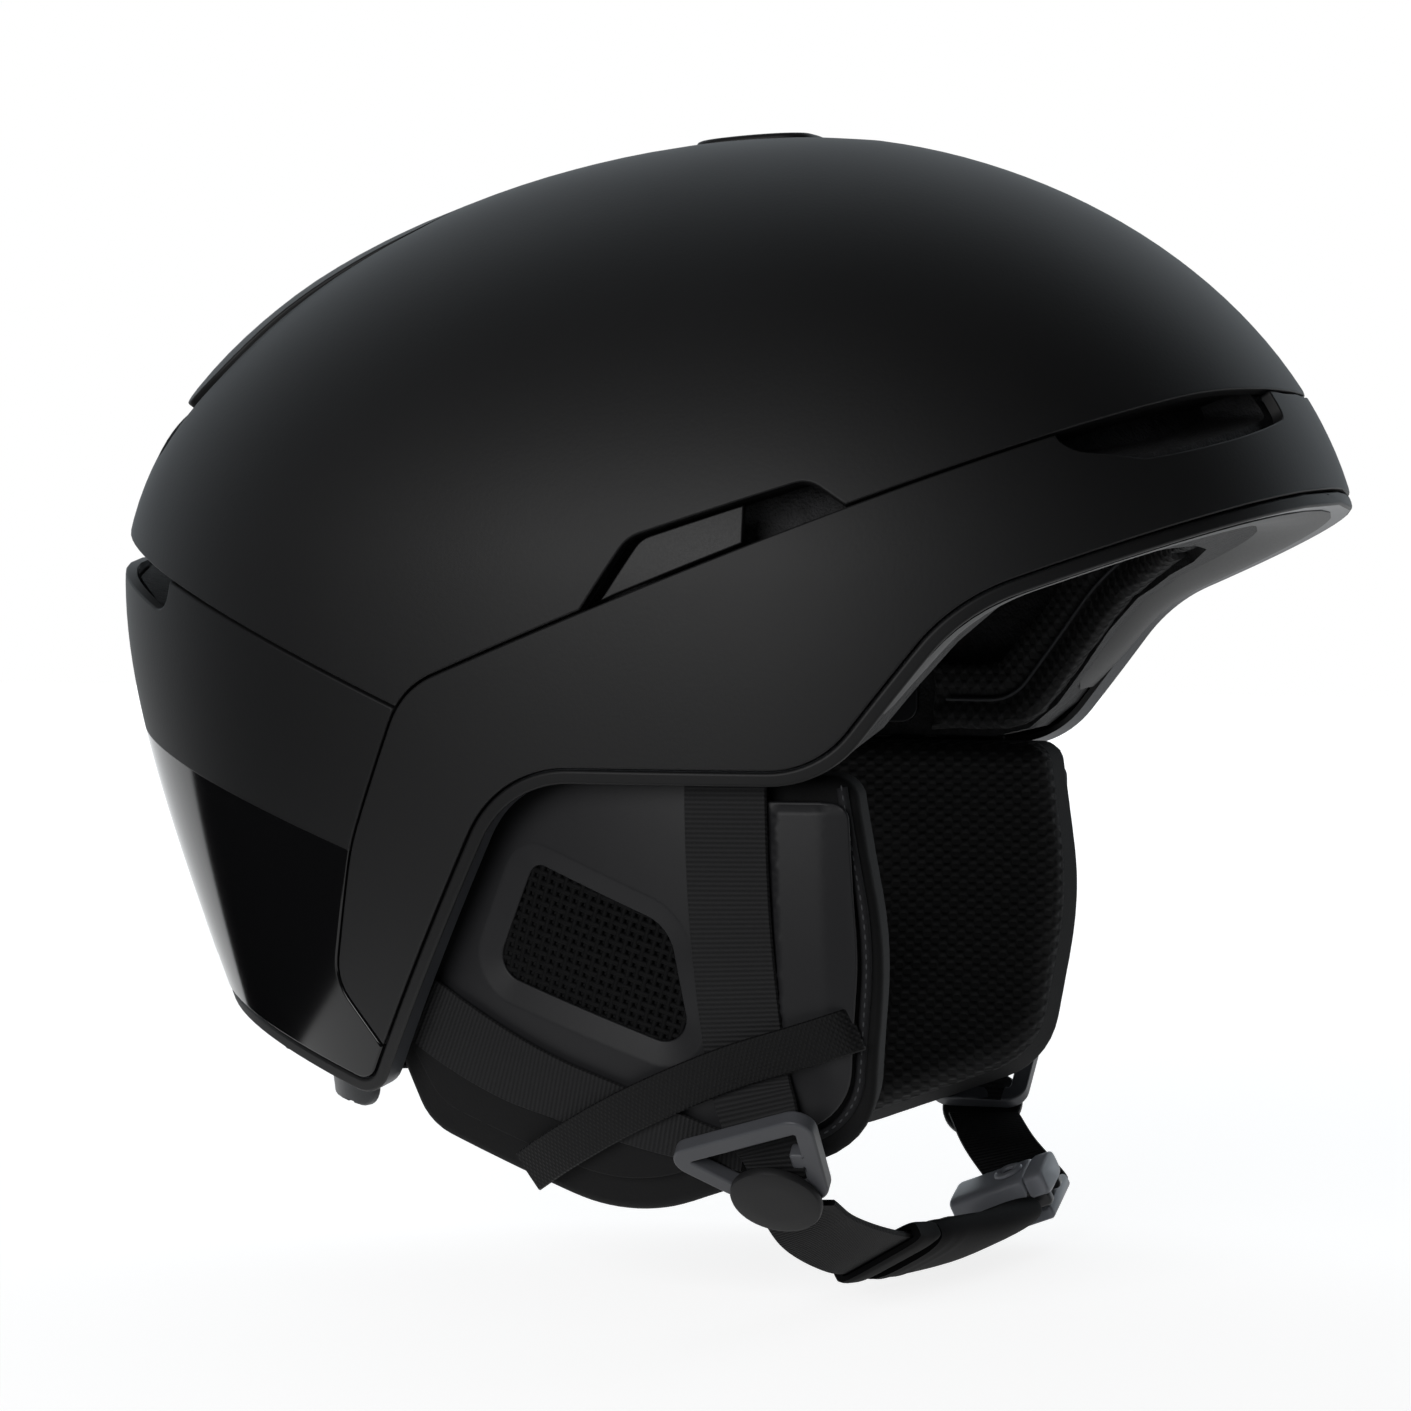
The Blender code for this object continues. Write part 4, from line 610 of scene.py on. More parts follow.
def rear_paint():
    """The rear panel's paint: matte above a slanting line, masked and lacquered to a high gloss below it."""
    finish, tree, surface = start_finish("part_lacquered_abs")
    places = node(tree, "ShaderNodeTexCoord").outputs["Object"]
    parts = node(tree, "ShaderNodeSeparateXYZ", {"Vector": places})
    line = node(tree, "ShaderNodeMath", {0: parts.outputs["Y"], 1: -lacquer_slope, 2: parts.outputs["Z"]},
                operation="MULTIPLY_ADD")
    matte = node(tree, "ShaderNodeMapRange", {"Value": line.outputs["Value"], "From Min": lacquer_low,
                                              "From Max": lacquer_high})
    gloss = node(tree, "ShaderNodeMapRange",
                 {"Value": matte.outputs["Result"], "To Min": 0.10, "To Max": 0.58})
    pebble = node(tree, "ShaderNodeTexNoise", {"Vector": places, "Scale": 1 / 0.0009, "Detail": 2.0})
    height = node(tree, "ShaderNodeMath", {0: pebble.outputs["Fac"], 1: matte.outputs["Result"]},
                  operation="MULTIPLY")
    coat(tree, surface, ("#101011", "#131314"), matte.outputs["Result"], height.outputs["Value"],
         strength=0.12, depth=0.0002,
         inputs={"Roughness": gloss.outputs["Result"], "Specular IOR Level": 0.35})
    return finish


matte_abs = matte_paint()
rear_abs = rear_paint()
shell_line = grown(rim, -hem_height - hem_gap)
band_clear = grown(band, seam)
rear_clear = grown(rear, seam)
upper = shell_panel("upper_shell_panel", shell_wall, shell_edge, matte_abs, held={"side": [shell_line]},
                    cut={"side": [band_clear, rear_clear, side_vent], "top": [spine_window, slider_bed]})
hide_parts("upper_shell")
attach(upper, "helmet")

brim = shell_panel("brim_shell_panel", shell_wall, shell_edge, matte_abs, held={"side": [shell_line, band]},
                   cut={"front": [front_vent, mirrored(front_vent)]})
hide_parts("brim_shell")
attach(brim, "helmet")

rear_panel = shell_panel("rear_shell_panel", shell_wall, shell_edge, rear_abs,
                         held={"side": [shell_line, rear]},
                         cut={"side": [band_clear, rear_vent], "back": [clip_window]})
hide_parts("rear_shell")
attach(rear_panel, "helmet")


# Edge hem: a moulded strip of satin black plastic that closes the gap between shell and liner.
# It runs all round the rim; its trimmed face, 5.6 mm deep, shows from below as a lighter line: a painted
# reflection of the pale floor, coloured light grey on a face of the same black plastic.

hem_depth = 0.0056
hem_set_back = 0.0003
hem_edge = 0.0007
hem_line = grown(rim, -hem_height)


def moulded_plastic(name, dark, light, roughness, shine=0.32):
    """Satin moulded plastic: an even spark-eroded grain of 0.5 mm that softens the highlights."""
    finish, tree, surface = start_finish(name)
    places = node(tree, "ShaderNodeTexCoord").outputs["Object"]
    grain = node(tree, "ShaderNodeTexNoise", {"Vector": places, "Scale": 1 / 0.0005, "Detail": 3.0})
    cloud = node(tree, "ShaderNodeTexNoise", {"Vector": places, "Scale": 1 / 0.012, "Detail": 2.0})
    gloss = node(tree, "ShaderNodeMapRange", {"Value": grain.outputs["Fac"], "To Min": roughness - 0.05,
                                              "To Max": roughness + 0.05})
    coat(tree, surface, (dark, light), cloud.outputs["Fac"], grain.outputs["Fac"], strength=0.15,
         depth=0.0001, inputs={"Roughness": gloss.outputs["Result"], "Specular IOR Level": shine})
    return finish


hem_plastic = moulded_plastic("moulded_hem_plastic", "#101011", "#151516", roughness=0.55)
# Painted reflection: the trimmed face is the hem's own black plastic, coloured light grey for the floor's
# light it catches from below.
painted_light_hem_face = moulded_plastic("hem_face_painted_reflection", "#585a5e", "#64666a", roughness=0.42)
hem = shell_panel("edge_hem", hem_depth - hem_set_back, hem_edge, hem_plastic, held={"side": [rim]},
                  cut={"side": [hem_line]}, inset=hem_set_back, under=painted_light_hem_face)
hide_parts("base_rim")
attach(hem, "helmet")


# Brim lip: the inner end of the hem's moulding under the brim, of the same satin plastic.
# It is glued to the liner's front edge, slopes up inwards and runs out into the liner at both temples.

def ring_faces(start, rows, around):
    """Return the faces between rows of points that each go once around."""
    return [(start + row * around + index, start + row * around + (index + 1) % around,
             start + (row + 1) * around + (index + 1) % around, start + (row + 1) * around + index)
            for row in range(rows - 1) for index in range(around)]


def sweep(name, rings, finish, uv=None, bores=None):
    """Join rings of points into one closed piece; bores, where given, make it a tube."""
    count, around = len(rings), len(rings[0])
    layers = [rings] if bores is None else [rings, bores]
    points = [point for layer in layers for ring in layer for point in ring]
    faces = []
    for layer in range(len(layers)):
        faces += ring_faces(layer * count * around, count, around)
    for row in (0, count - 1):
        ring = list(range(row * around, (row + 1) * around))
        if bores is None:
            faces.append(ring)
        else:
            faces += [(ring[index], ring[(index + 1) % around], ring[(index + 1) % around] + count * around,
                       ring[index] + count * around) for index in range(around)]
    return add_piece(name, points, faces, finish, uv=uv)


def lengths_along(points):
    """Return how far along their line each of the given points lies."""
    return np.concatenate([[0], np.cumsum(np.linalg.norm(np.diff(points, axis=0), axis=1))])


def both_sides(half):
    """Return a line over both sides, given its half from the middle plane outwards."""
    return [*(half[::-1] * (-1, 1, 1)), *half[1:]]


lip_section = [(0.0052, 0.0003), (0.0080, 0.0003), (0.0120, 0.0007), (0.0160, 0.0016), (0.0200, 0.0027),
               (0.0235, 0.0040), (0.0235, 0.0046), (0.0052, 0.0046)]
lip_end_y = -0.068
lip_top = 0.0037
lip_fade = 0.3
lip_stops = 40
lip_rows = []
for depth, height in lip_section:
    flat = np.array(trace(shell_form, depth, grown(rim, -height))[0])
    half = on_form(shell_form, depth, flat)[0]
    half = half[half[:, 1] < lip_end_y]
    along = lengths_along(half)
    stops = np.linspace(0, along[-1], lip_stops)
    half = np.stack([np.interp(stops, along, half[:, axis]) for axis in range(3)], axis=1)
    faded = np.clip(stops / along[-1] / lip_fade - (1 - lip_fade) / lip_fade, 0, 1)
    half[:, 2] += max(0, lip_top - height) * faded ** 2
    lip_rows.append(both_sides(half))
lip = sweep("brim_lip", [list(ring) for ring in zip(*lip_rows)], hem_plastic)
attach(lip, "helmet")


# Spine cover: a painted ABS plate over the rear exhaust, snapped into the window of the upper shell.
# It is flush at its front, and 1 mm proud and open at its back edge.

spine_proud = 0.001
spine_wall = 0.0039
spine_edge = 0.0006
spine_proud_y = 0.085
spine_rise_run = 0.035
spine_end_y = 0.111
spine_outline = grown([(x, min(y, spine_end_y + seam), radius) for x, y, radius in spine_window], -seam)


def spine_rise(points):
    """Sink the plate's front edge flush with the crown, so that it rises towards the exhaust."""
    return -spine_proud * np.clip((spine_proud_y - points[:, 1]) / spine_rise_run, 0, 1)


spine = shell_panel("spine_cover_plate", spine_wall, spine_edge, matte_abs, held={"top": [spine_outline]},
                    inset=-spine_proud, relief=spine_rise)
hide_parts("spine_cover")
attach(spine, "helmet")


# Side vent covers: small moulded blanks set 2.2 mm back in the side vents, clipped to the liner.
# They close the rear half of each vent and leave the rest open to the foam.

vent_cover = [(-0.0435, 0.0773, 0), (-0.0435, 0.0852, 0), (-0.0217, 0.0782, 0.006), (-0.0130, 0.0654, 0)]
cover_recess = 0.0022
cover_wall = 0.0018
cover_edge = 0.0004
black_abs = moulded_plastic("moulded_black_abs", "#121213", "#171718", roughness=0.5)
sides = {"right": -1, "left": 1}
for side_name, facing in sides.items():
    cover = shell_panel(f"side_vent_blank_{side_name}", cover_wall, cover_edge, black_abs,
                        held={"side": [vent_cover]}, facing=facing, inset=cover_recess)
    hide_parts(f"side_vent_cover_{side_name}")
    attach(cover, "helmet")


# Crown vent slider: a moulded knob on a stem through the shell, that drags a shutter over the ducts.
# The knob is pressed with four shallow grip grooves, and its shallow bed is part of the upper shell.

stem_slot = rectangle((-0.0039, -0.0341), (0.0039, -0.0069), 0.002)
bed_depth = 0.0012
bed_wall = 0.0010
bed_edge = 0.0002
bed_lap = 0.0008
bed_line = grown(slider_bed, bed_lap)
bed = shell_panel("slider_bed_floor", bed_wall, bed_edge, matte_abs, held={"top": [bed_line]},
                  cut={"top": [stem_slot]}, inset=bed_depth)
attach(bed, "helmet")

slider_radius = 0.2014
slider_axis_z = -0.030
knob_edge = 0.0012
knob_wall = 0.0021
knob_sink = 0.0006
knob_fall = 0.0005
knob_half = 0.012
knob_step = 0.001
knob_pitch = 0.0007
knob_reach = ((-0.013, -0.030), (0.013, 0.002))
knob = grown(rectangle((-0.0119, -0.0274), (0.0119, 0.0004), 0.007), -knob_edge)
grip_middle = -0.0135
grip_gap = 0.004
grip_rows = [grip_middle + grip_gap * step for step in (-1.5, -0.5, 0.5, 1.5)]
grip_depth = 0.0003
grip_width = 0.0006
grip_half_length = 0.008


def on_arc(flat):
    """Return points and normals of the knob's top, which is round the slider's axis."""
    lean = np.arcsin((flat[:, 1] - centre_y) / slider_radius)
    points = np.stack([flat[:, 0], flat[:, 1], slider_axis_z + slider_radius * np.cos(lean)], axis=1)
    return points, np.stack([np.zeros(len(flat)), np.sin(lean), np.cos(lean)], axis=1)


def outline_chain(corners, step):
    """Return an outline as one closed chain of evenly spaced points."""
    return [tuple(spot) for spot in stepped(corners, step)]


knob_flat, knob_faces = mesh_region([outline_chain(knob, knob_step)],
                                    lambda points: within(points[:, :2], knob), on_arc, knob_pitch,
                                    knob_reach)
grips = sum(np.exp(-((knob_flat[:, 1] - row) / grip_width) ** 2) for row in grip_rows)
gripped = np.abs(knob_flat[:, 0]) < grip_half_length
knob_relief = -knob_sink - grip_depth * grips * gripped - knob_fall * (knob_flat[:, 0] / knob_half) ** 2
slider = shell_piece("vent_slider_knob", knob_flat, knob_faces, on_arc, knob_wall, knob_edge, matte_abs,
                     knob_relief, swell=knob_edge)
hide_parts("vent_slider")
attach(slider, "slider")
finish_solid("vent_shutter", black_abs)


# Comfort pads: coarse knit laminated on soft foam, die-cut with pressed edges, held by hook-and-loop dots.
# One runs round the brow, one ring sits under the crown, one on each temple and one on the nape cradle.

head_form = Form(0.084, 0.092, 0.126, 0.076, 1.2)
head_radius = 0.085
pad_face = 0.0064
pad_thick = 0.006
pad_roll = 0.0022
pad_back_edge = 0.0016
pad_pitch = 0.012
pad_sink = 0.0008
sink_run = 0.010
crease_depth = 0.0018
crease_width = 0.0022
brow_bottom = 0.005
brow_top = 0.022
brow_middle = 0.0125
brow_low = grown(rim, -brow_bottom - pad_roll)
brow_high = grown(rim, -brow_top + pad_roll)
brow_end_y = -0.032 - pad_roll
brow_crease = grown(rim, -brow_middle)
temple_pad = grown([(-0.022, 0.052, 0.006), (0.058, 0.052, 0.006), (0.050, 0.086, 0.010),
                    (-0.016, 0.086, 0.010)], -pad_roll)
crown_pad = grown([(-0.030, -0.075, 0.020), (0.030, -0.075, 0.020), (0.034, 0.050, 0.020),
                   (-0.034, 0.050, 0.020)], -pad_roll)
crown_slot = grown(rectangle((-0.019, -0.058), (0.019, 0.030), 0.010), pad_roll)
nape_face = 0.0099
nape_thick = 0.005
nape_pad = grown([(0.066, -0.040, 0.006), (far, -0.036, 0), (far, -0.010, 0), (0.078, -0.010, 0.010)],
                 -pad_roll)
# A wave texture of scale 1 repeats every tau / 20 metres, so this over a pitch is the scale for that pitch.
wave_turn = math.tau / 20


def dot_knit(name, wide, high, dark, light):
    """Raised knit: rows of small rounded dots, each row set half a step on; the dot tops are a painted
    highlight and the gaps between them painted shade.
    """
    finish, tree, surface = start_finish(name)
    laid = node(tree, "ShaderNodeUVMap").outputs["UV"]
    waves = [node(tree, "ShaderNodeTexWave", {"Vector": laid, "Scale": wave_turn / (2 * step)},
                  bands_direction=axis) for axis, step in (("X", wide), ("Y", high))]
    sways = [node(tree, "ShaderNodeMath", {0: wave.outputs["Fac"], 1: 0.5}, operation="SUBTRACT")
             for wave in waves]
    product = node(tree, "ShaderNodeMath", {0: sways[0].outputs["Value"], 1: sways[1].outputs["Value"]},
                   operation="MULTIPLY")
    dots = node(tree, "ShaderNodeMapRange",
                {"Value": product.outputs["Value"], "From Min": -0.05, "From Max": 0.25})
    # The dot pattern also sets the colour: lighter dot tops as painted highlight, darker gaps as painted
    # shade.
    coat(tree, surface, (dark, light), dots.outputs["Result"], dots.outputs["Result"], strength=0.9,
         depth=0.0005, inputs={"Roughness": 0.88, "Sheen Weight": 0.08, "Sheen Roughness": 0.4})
    return finish


# The two tones are painted shade in the gaps and painted highlight on the dot tops.
pad_knit = dot_knit("coarse_pad_knit", 0.0018, 0.0018, "#080809", "#1c1c1d")


def inset_from(spots, corners):
    """Return how far flat spots lie inside an outline; the value is negative outside it."""
    outline = np.array([tuple(point) for point in rounded(corners)])
    nearest = np.full(len(spots), 1.0)
    for start, end in zip(outline, np.roll(outline, -1, axis=0)):
        run = end - start
        share = np.clip((spots - start) @ run / max(run @ run, 1e-15), 0, 1)
        nearest = np.minimum(nearest, np.linalg.norm(spots - start - share[:, None] * run, axis=1))
    return np.where(within(spots, corners), nearest, -nearest)


def border_distance(points, faces):
    """Return how far each point of a patch lies from the patch's edge."""
    tree = nearest_of(points[sorted({a for a, b in open_edges(faces)})])
    return np.array([tree.find(point)[2] for point in points])


def lining_panel(name, inset, wall, edge, finish, held, cut=None, facing=0, sink=0.0, back_edge=0.0, look=-1,
                 pitch=0.02, swell=0.0, crease=None):
    """Make a piece on the head's form that faces the head; its flat map is mirrored so that it does."""
    def place(flat):
        points, normals = on_form(head_form, inset, flat * np.array((-1, 1)))
        return points, -normals

    chains, belongs = region(head_form, inset, held, cut, facing)
    chains = [[(-u, v) for u, v in chain] for chain in chains]
    flat, faces = mesh_region(chains, belongs, place, pitch, whole_map)
    points = place(flat)[0]
    relief = -sink * (1 - np.minimum(border_distance(points, faces) / sink_run, 1)) ** 2
    if crease is not None:
        relief -= crease_depth * np.exp(-(inset_from(side(points), crease) / crease_width) ** 2)
    if look:
        round_head = np.arctan2(points[:, 0], look * (points[:, 1] - centre_y)) * head_radius
        uv = np.stack([round_head, points[:, 2]], axis=1)
    else:
        uv = points[:, :2]
    return shell_piece(name, flat, faces, place, wall, edge, finish, relief, uv=uv, back_edge=back_edge,
                       swell=swell)


def add_pad(node_name, inset, thick, body="helmet", **shape):
    """Add one comfort pad with rolled edges in place of its solid."""
    pad = lining_panel(f"{node_name}_foam", inset, thick, pad_roll, pad_knit, sink=pad_sink,
                       back_edge=pad_back_edge, pitch=pad_pitch, swell=pad_roll, **shape)
    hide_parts(node_name)
    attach(pad, body)


brow_end = [(brow_end_y, -far, 0), (brow_end_y, far, 0), (far, far, 0), (far, -far, 0)]
add_pad("brow_pad", pad_face, pad_thick, held={"side": [brow_low]}, cut={"side": [brow_high, brow_end]},
        crease=brow_crease)


def cord_tree():
    """Return a tree that turns loose edges into round cords of a given thickness and finish."""
    tree, given = start_tree("round_cords", Radius="Float", Finish="Material")
    line = node(tree, "GeometryNodeMeshToCurve", {"Mesh": given.outputs["Geometry"]})
    ring = node(tree, "GeometryNodeCurvePrimitiveCircle",
                {"Resolution": 8, "Radius": given.outputs["Radius"]})
    cord = node(tree, "GeometryNodeCurveToMesh",
                {"Curve": line.outputs[0], "Profile Curve": ring.outputs[0], "Fill Caps": True})
    round_cord = node(tree, "GeometryNodeSetShadeSmooth", {"Geometry": cord.outputs[0]})
    real = node(tree, "GeometryNodeRealizeInstances", {"Geometry": round_cord.outputs[0]})
    done = node(tree, "GeometryNodeSetMaterial",
                {"Geometry": real.outputs[0], "Material": given.outputs["Finish"]})
    node(tree, "NodeGroupOutput", {0: done.outputs[0]})
    return tree


def grow_lines(name, lines, tree, **settings):
    """Run a node tree on lines of points and keep the outcome as a plain mesh."""
    points, edges = [], []
    for line in lines:
        edges += [(len(points) + index, len(points) + index + 1) for index in range(len(line) - 1)]
        points += [tuple(point) for point in line]
    mesh = bpy.data.meshes.new(name)
    mesh.from_pydata(points, edges, [])
    piece = bpy.data.objects.new(name, mesh)
    scene.collection.objects.link(piece)
    modifier = piece.modifiers.new(name, "NODES")
    modifier.node_group = tree
    for socket in tree.interface.items_tree:
        if socket.in_out == "INPUT" and socket.name in settings:
            modifier[socket.identifier] = settings[socket.name]
    graph = bpy.context.evaluated_depsgraph_get()
    grown_mesh = bpy.data.meshes.new_from_object(piece.evaluated_get(graph), depsgraph=graph)
    piece.modifiers.remove(modifier)
    piece.data = grown_mesh
    bpy.data.meshes.remove(mesh)
    return piece


seam_thread = moulded_plastic("polyester_thread", "#3a3b3d", "#4a4b4e", roughness=0.6)
seam_radius = 0.0005
seam_face = pad_face - 0.0010
seam_end_y = brow_end_y - 0.002
round_cords = cord_tree()
half_seam = on_form(head_form, seam_face, np.array(trace(head_form, seam_face, brow_crease)[0]))[0]
half_seam = half_seam[half_seam[:, 1] < seam_end_y]
brow_seam = grow_lines("brow_pad_seam", [both_sides(half_seam)], round_cords, Radius=seam_radius,
                       Finish=seam_thread)
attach(brow_seam, "helmet")

add_pad("crown_pad", pad_face, pad_thick, held={"top": [crown_pad]}, cut={"top": [crown_slot]}, look=0)
for side_name, facing in sides.items():
    add_pad(f"side_pad_{side_name}", pad_face, pad_thick, held={"side": [temple_pad]}, facing=facing)
add_pad("nape_pad", nape_face, nape_thick, body="cradle", held={"side": [nape_pad]}, look=1)


# Fit system: nylon bands along the temples and a springy cradle behind the head, with a dial on its back.
# The bands are riveted to the liner; the dial, which has 18 finger lobes, draws the cradle along them.

temple_band = rectangle((-0.028, 0.0335), (0.056, 0.0455), 0.004)
band_face = 0.0019
band_wall = 0.0015
band_edge = 0.0004
cradle = [(0.018, 0.0345, 0.003), (0.048, 0.0345, 0.012), (0.070, -0.018, 0.020), (0.062, -0.032, 0.008),
          (0.060, -0.050, 0.005), (far, -0.046, 0), (far, -0.002, 0), (0.082, -0.002, 0.020),
          (0.056, 0.0445, 0.012), (0.018, 0.0445, 0.003)]
cradle_slot = rectangle((0.024, 0.0378), (0.044, 0.0412), 0.0015)
cradle_face = 0.0045
cradle_wall = 0.002
cradle_edge = 0.0005
band_nylon = moulded_plastic("moulded_nylon", "#2c2d2f", "#343537", roughness=0.42)
for side_name, facing in sides.items():
    strip = lining_panel(f"temple_band_{side_name}", band_face, band_wall, band_edge, band_nylon,
                         held={"side": [temple_band]}, facing=facing)
    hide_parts(f"fit_band_{side_name}")
    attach(strip, "helmet")

cradle_piece = lining_panel("cradle_web", cradle_face, cradle_wall, cradle_edge, band_nylon,
                            held={"side": [cradle]}, cut={"side": [cradle_slot]}, back_edge=cradle_edge,
                            look=1)
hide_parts("nape_cradle")
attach(cradle_piece, "cradle")
finish_solid("dial_housing", black_abs, rounding=0.0004)
finish_solid("fit_dial", moulded_plastic("moulded_dial_rubber", "#202021", "#262628", roughness=0.6),
             rounding=0.0004)


# Goggle clip: a moulded flap in the lower back that pinches the goggle strap, hinged on a steel pin.
# The flap is cut from the same form as the rear shell, and its knuckle turns between the bracket's two eyes.

clip_flap = [(-0.038, -0.018, 0.003), (0.038, -0.018, 0.003), (0.038, -0.006, 0.005),
             (-0.038, -0.006, 0.005)]
clip_edge = 0.0006
clip_axis = Vector((0, 0.10953, -0.017))
knuckle_half = 0.0065
knuckle_bore = 0.0014
knuckle_radius = 0.0020


def turned(name, profile, place, finish, sides_round=48):
    """Turn a profile of (radius, height) round the Z axis of a place."""
    spokes = [math.tau * index / sides_round for index in range(sides_round)]
    points = [place @ Vector((radius * math.cos(spoke), radius * math.sin(spoke), height))
              for radius, height in profile for spoke in spokes]
    return add_piece(name, points, ring_faces(0, len(profile), sides_round), finish)


flap = shell_panel("goggle_clip_flap", shell_wall, clip_edge, black_abs, held={"back": [clip_flap]},
                   pitch=0.02)
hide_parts("goggle_clip")
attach(flap, "clip")
knuckle_place = Matrix.Translation(clip_axis) @ Matrix.Rotation(math.pi / 2, 4, "Y")
knuckle_profile = [(knuckle_bore, -knuckle_half), (knuckle_radius, -knuckle_half),
                   (knuckle_radius, knuckle_half), (knuckle_bore, knuckle_half),
                   (knuckle_bore, -knuckle_half)]
knuckle = turned("goggle_clip_knuckle", knuckle_profile, knuckle_place, black_abs)
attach(knuckle, "clip")
finish_solid("clip_bracket", black_abs, rounding=0.0003)
steel, steel_tree, steel_surface = start_finish("drawn_steel_pin")
fill(steel_tree, steel_surface, {"Base Color": colour("#b4b5b8"), "Metallic": 1.0, "Roughness": 0.28})
finish_solid("clip_pin", steel)


# Ear pads: a moulded plate with a woven acoustic mesh set in a sunk frame, on a cushion hollowed for the ear.
# The plate tucks under the rim on two tabs; a stitched cord closes the cushion's cover round its front edge.

ear_reach = 0.0968
ear_middle_y = -0.035
ear_rim_z = 0.027
ear_plan_radius = 0.170
ear_hang_radius = 0.215
plate_top = 0.0293
plate_binding = 0.0238
ear_plate = [(-0.030, plate_top, 0), (-0.036, plate_binding, 0), (-0.0628, plate_binding, 0.004),
             (-0.0640, -0.010, 0.080), (-0.0600, -0.0425, 0.016), (-0.0090, -0.0615, 0.040),
             (0.0385, -0.0455, 0.012), (0.0455, -0.0320, 0.004), (0.0105, plate_top, 0.024)]
tab_half = 0.0045
tab_top = plate_top + 0.009
for tab_y in (-0.0090, -0.0215):
    ear_plate += [(tab_y + tab_half, plate_top, 0), (tab_y + tab_half, tab_top, 0),
                  (tab_y - tab_half, tab_top, 0), (tab_y - tab_half, plate_top, 0)]
ear_pad = [(-0.0610, plate_top, 0.003), (-0.0665, -0.006, 0.080), (-0.0615, -0.0450, 0.018),
           (-0.0090, -0.0645, 0.040), (0.0390, -0.0475, 0.012), (0.0448, -0.0320, 0.004),
           (0.0095, plate_top, 0.024)]
plate_wall = 0.002
plate_edge = 0.0005
plate_pitch = 0.0011
cushion_roll = 0.0055
cushion_face = grown(ear_pad, -cushion_roll)
cushion_lift = -0.0203
cushion_thick = 0.0165
cushion_back_edge = 0.003
cushion_pitch = 0.002
hollow_y, hollow_z = -0.010, -0.014
hollow_depth = 0.005
hollow_radius = 0.030
ear_window = [(0.0092, 0.0093, 0.0028), (-0.0226, -0.0035, 0.0095), (-0.0263, -0.0308, 0.0053),
              (0.0206, -0.0148, 0.0053)]
frame_width = 0.0050
frame_recess = 0.0018
ear_frame = grown(ear_window, frame_width)
frame_lines = [grown(ear_frame, out) for out in (0.0004, 0, -0.0005)]
ridge_proud = 0.0012
ridge_back = -0.0465
ridge_front = -0.0632
ridge_fall = 0.0062
ridge_step = 0.0004
ridge_low = -0.036
ridge_run_out = 0.008
ridge_bevel = 0.0006
ridge_top = plate_binding - ridge_bevel
ridge_crest = [(ridge_back, ridge_top, 0), (ridge_front + ridge_fall, ridge_top, 0),
               (ridge_front + ridge_fall, ridge_low, 0), (ridge_back, ridge_low, 0)]
cover_line = [(0.0500, -0.0300), (0.0192, -0.0390), (-0.0080, -0.0470), (-0.0285, -0.0520),
              (-0.0700, -0.0560)]
cover_wrap = 0.012
ear_map = ((-0.08, -0.08), (0.08, 0.06))


def ear_x(y, z):
    """Return how far the ear plate's face stands from the middle plane."""
    plan_fall = (y - ear_middle_y) ** 2 / (2 * ear_plan_radius)
    return ear_reach - plan_fall - (z - ear_rim_z) ** 2 / (2 * ear_hang_radius)


def ear_piece(name, facing, outlines, belongs, lift, wall, edge, finish, relief=None, out=1, back_edge=0.0,
              pitch=0.0016, swell=0.0):
    """Make a piece on one ear plate's face, turned outwards, or towards the ear where out is -1."""
    def place(flat):
        y, z = facing * out * flat[:, 0], flat[:, 1]
        points = np.stack([facing * (ear_x(y, z) + lift), y, z], axis=1)
        leans = [np.full(len(flat), float(facing)), (y - ear_middle_y) / ear_plan_radius,
                 (z - ear_rim_z) / ear_hang_radius]
        normals = out * np.stack(leans, axis=1)
        return points, normals / np.linalg.norm(normals, axis=1, keepdims=True)

    chains = [[(facing * out * y, z) for y, z in outline_chain(outline, pitch)] for outline in outlines]
    flat, faces = mesh_region(chains, belongs, place, pitch, ear_map)
    height = None if relief is None else relief(side(place(flat)[0]))
    return shell_piece(name, flat, faces, place, wall, edge, finish, height, uv=flat, back_edge=back_edge,
                       swell=swell)


def plate_relief(spots):
    """Sink a slope round the window; raise a flat ridge by the strap that falls away to the front edge."""
    y, z = spots[:, 0], spots[:, 1]
    slope = np.clip(inset_from(spots, ear_frame) / frame_width, 0, 1)
    across = np.clip((y - ridge_front) / ridge_fall, 0, 1) * np.clip((ridge_back - y) / ridge_step, 0, 1)
    ends = np.clip((z - ridge_low) / ridge_run_out, 0, 1) * np.clip((ridge_top - z) / ridge_bevel, 0, 1)
    return ridge_proud * across * ends - frame_recess * slope


def cushion_relief(spots):
    """Hollow the cushion for the ear."""
    reach = np.hypot(spots[:, 0] - hollow_y, spots[:, 1] - hollow_z)
    return -hollow_depth * np.maximum(0, 1 - (reach / hollow_radius) ** 2) ** 2


def smooth_cloth(name, dark, light):
    """Close-knit stretch cloth: nearly plain, with a fine nap that keeps it dull at every angle."""
    finish, tree, surface = start_finish(name)
    places = node(tree, "ShaderNodeTexCoord").outputs["Object"]
    nap = node(tree, "ShaderNodeTexNoise", {"Vector": places, "Scale": 1 / 0.0006, "Detail": 2.0})
    cloud = node(tree, "ShaderNodeTexNoise", {"Vector": places, "Scale": 1 / 0.006, "Detail": 3.0})
    coat(tree, surface, (dark, light), cloud.outputs["Fac"], nap.outputs["Fac"], strength=0.5, depth=0.0002,
         inputs={"Roughness": 0.85, "Specular IOR Level": 0.25})
    return finish


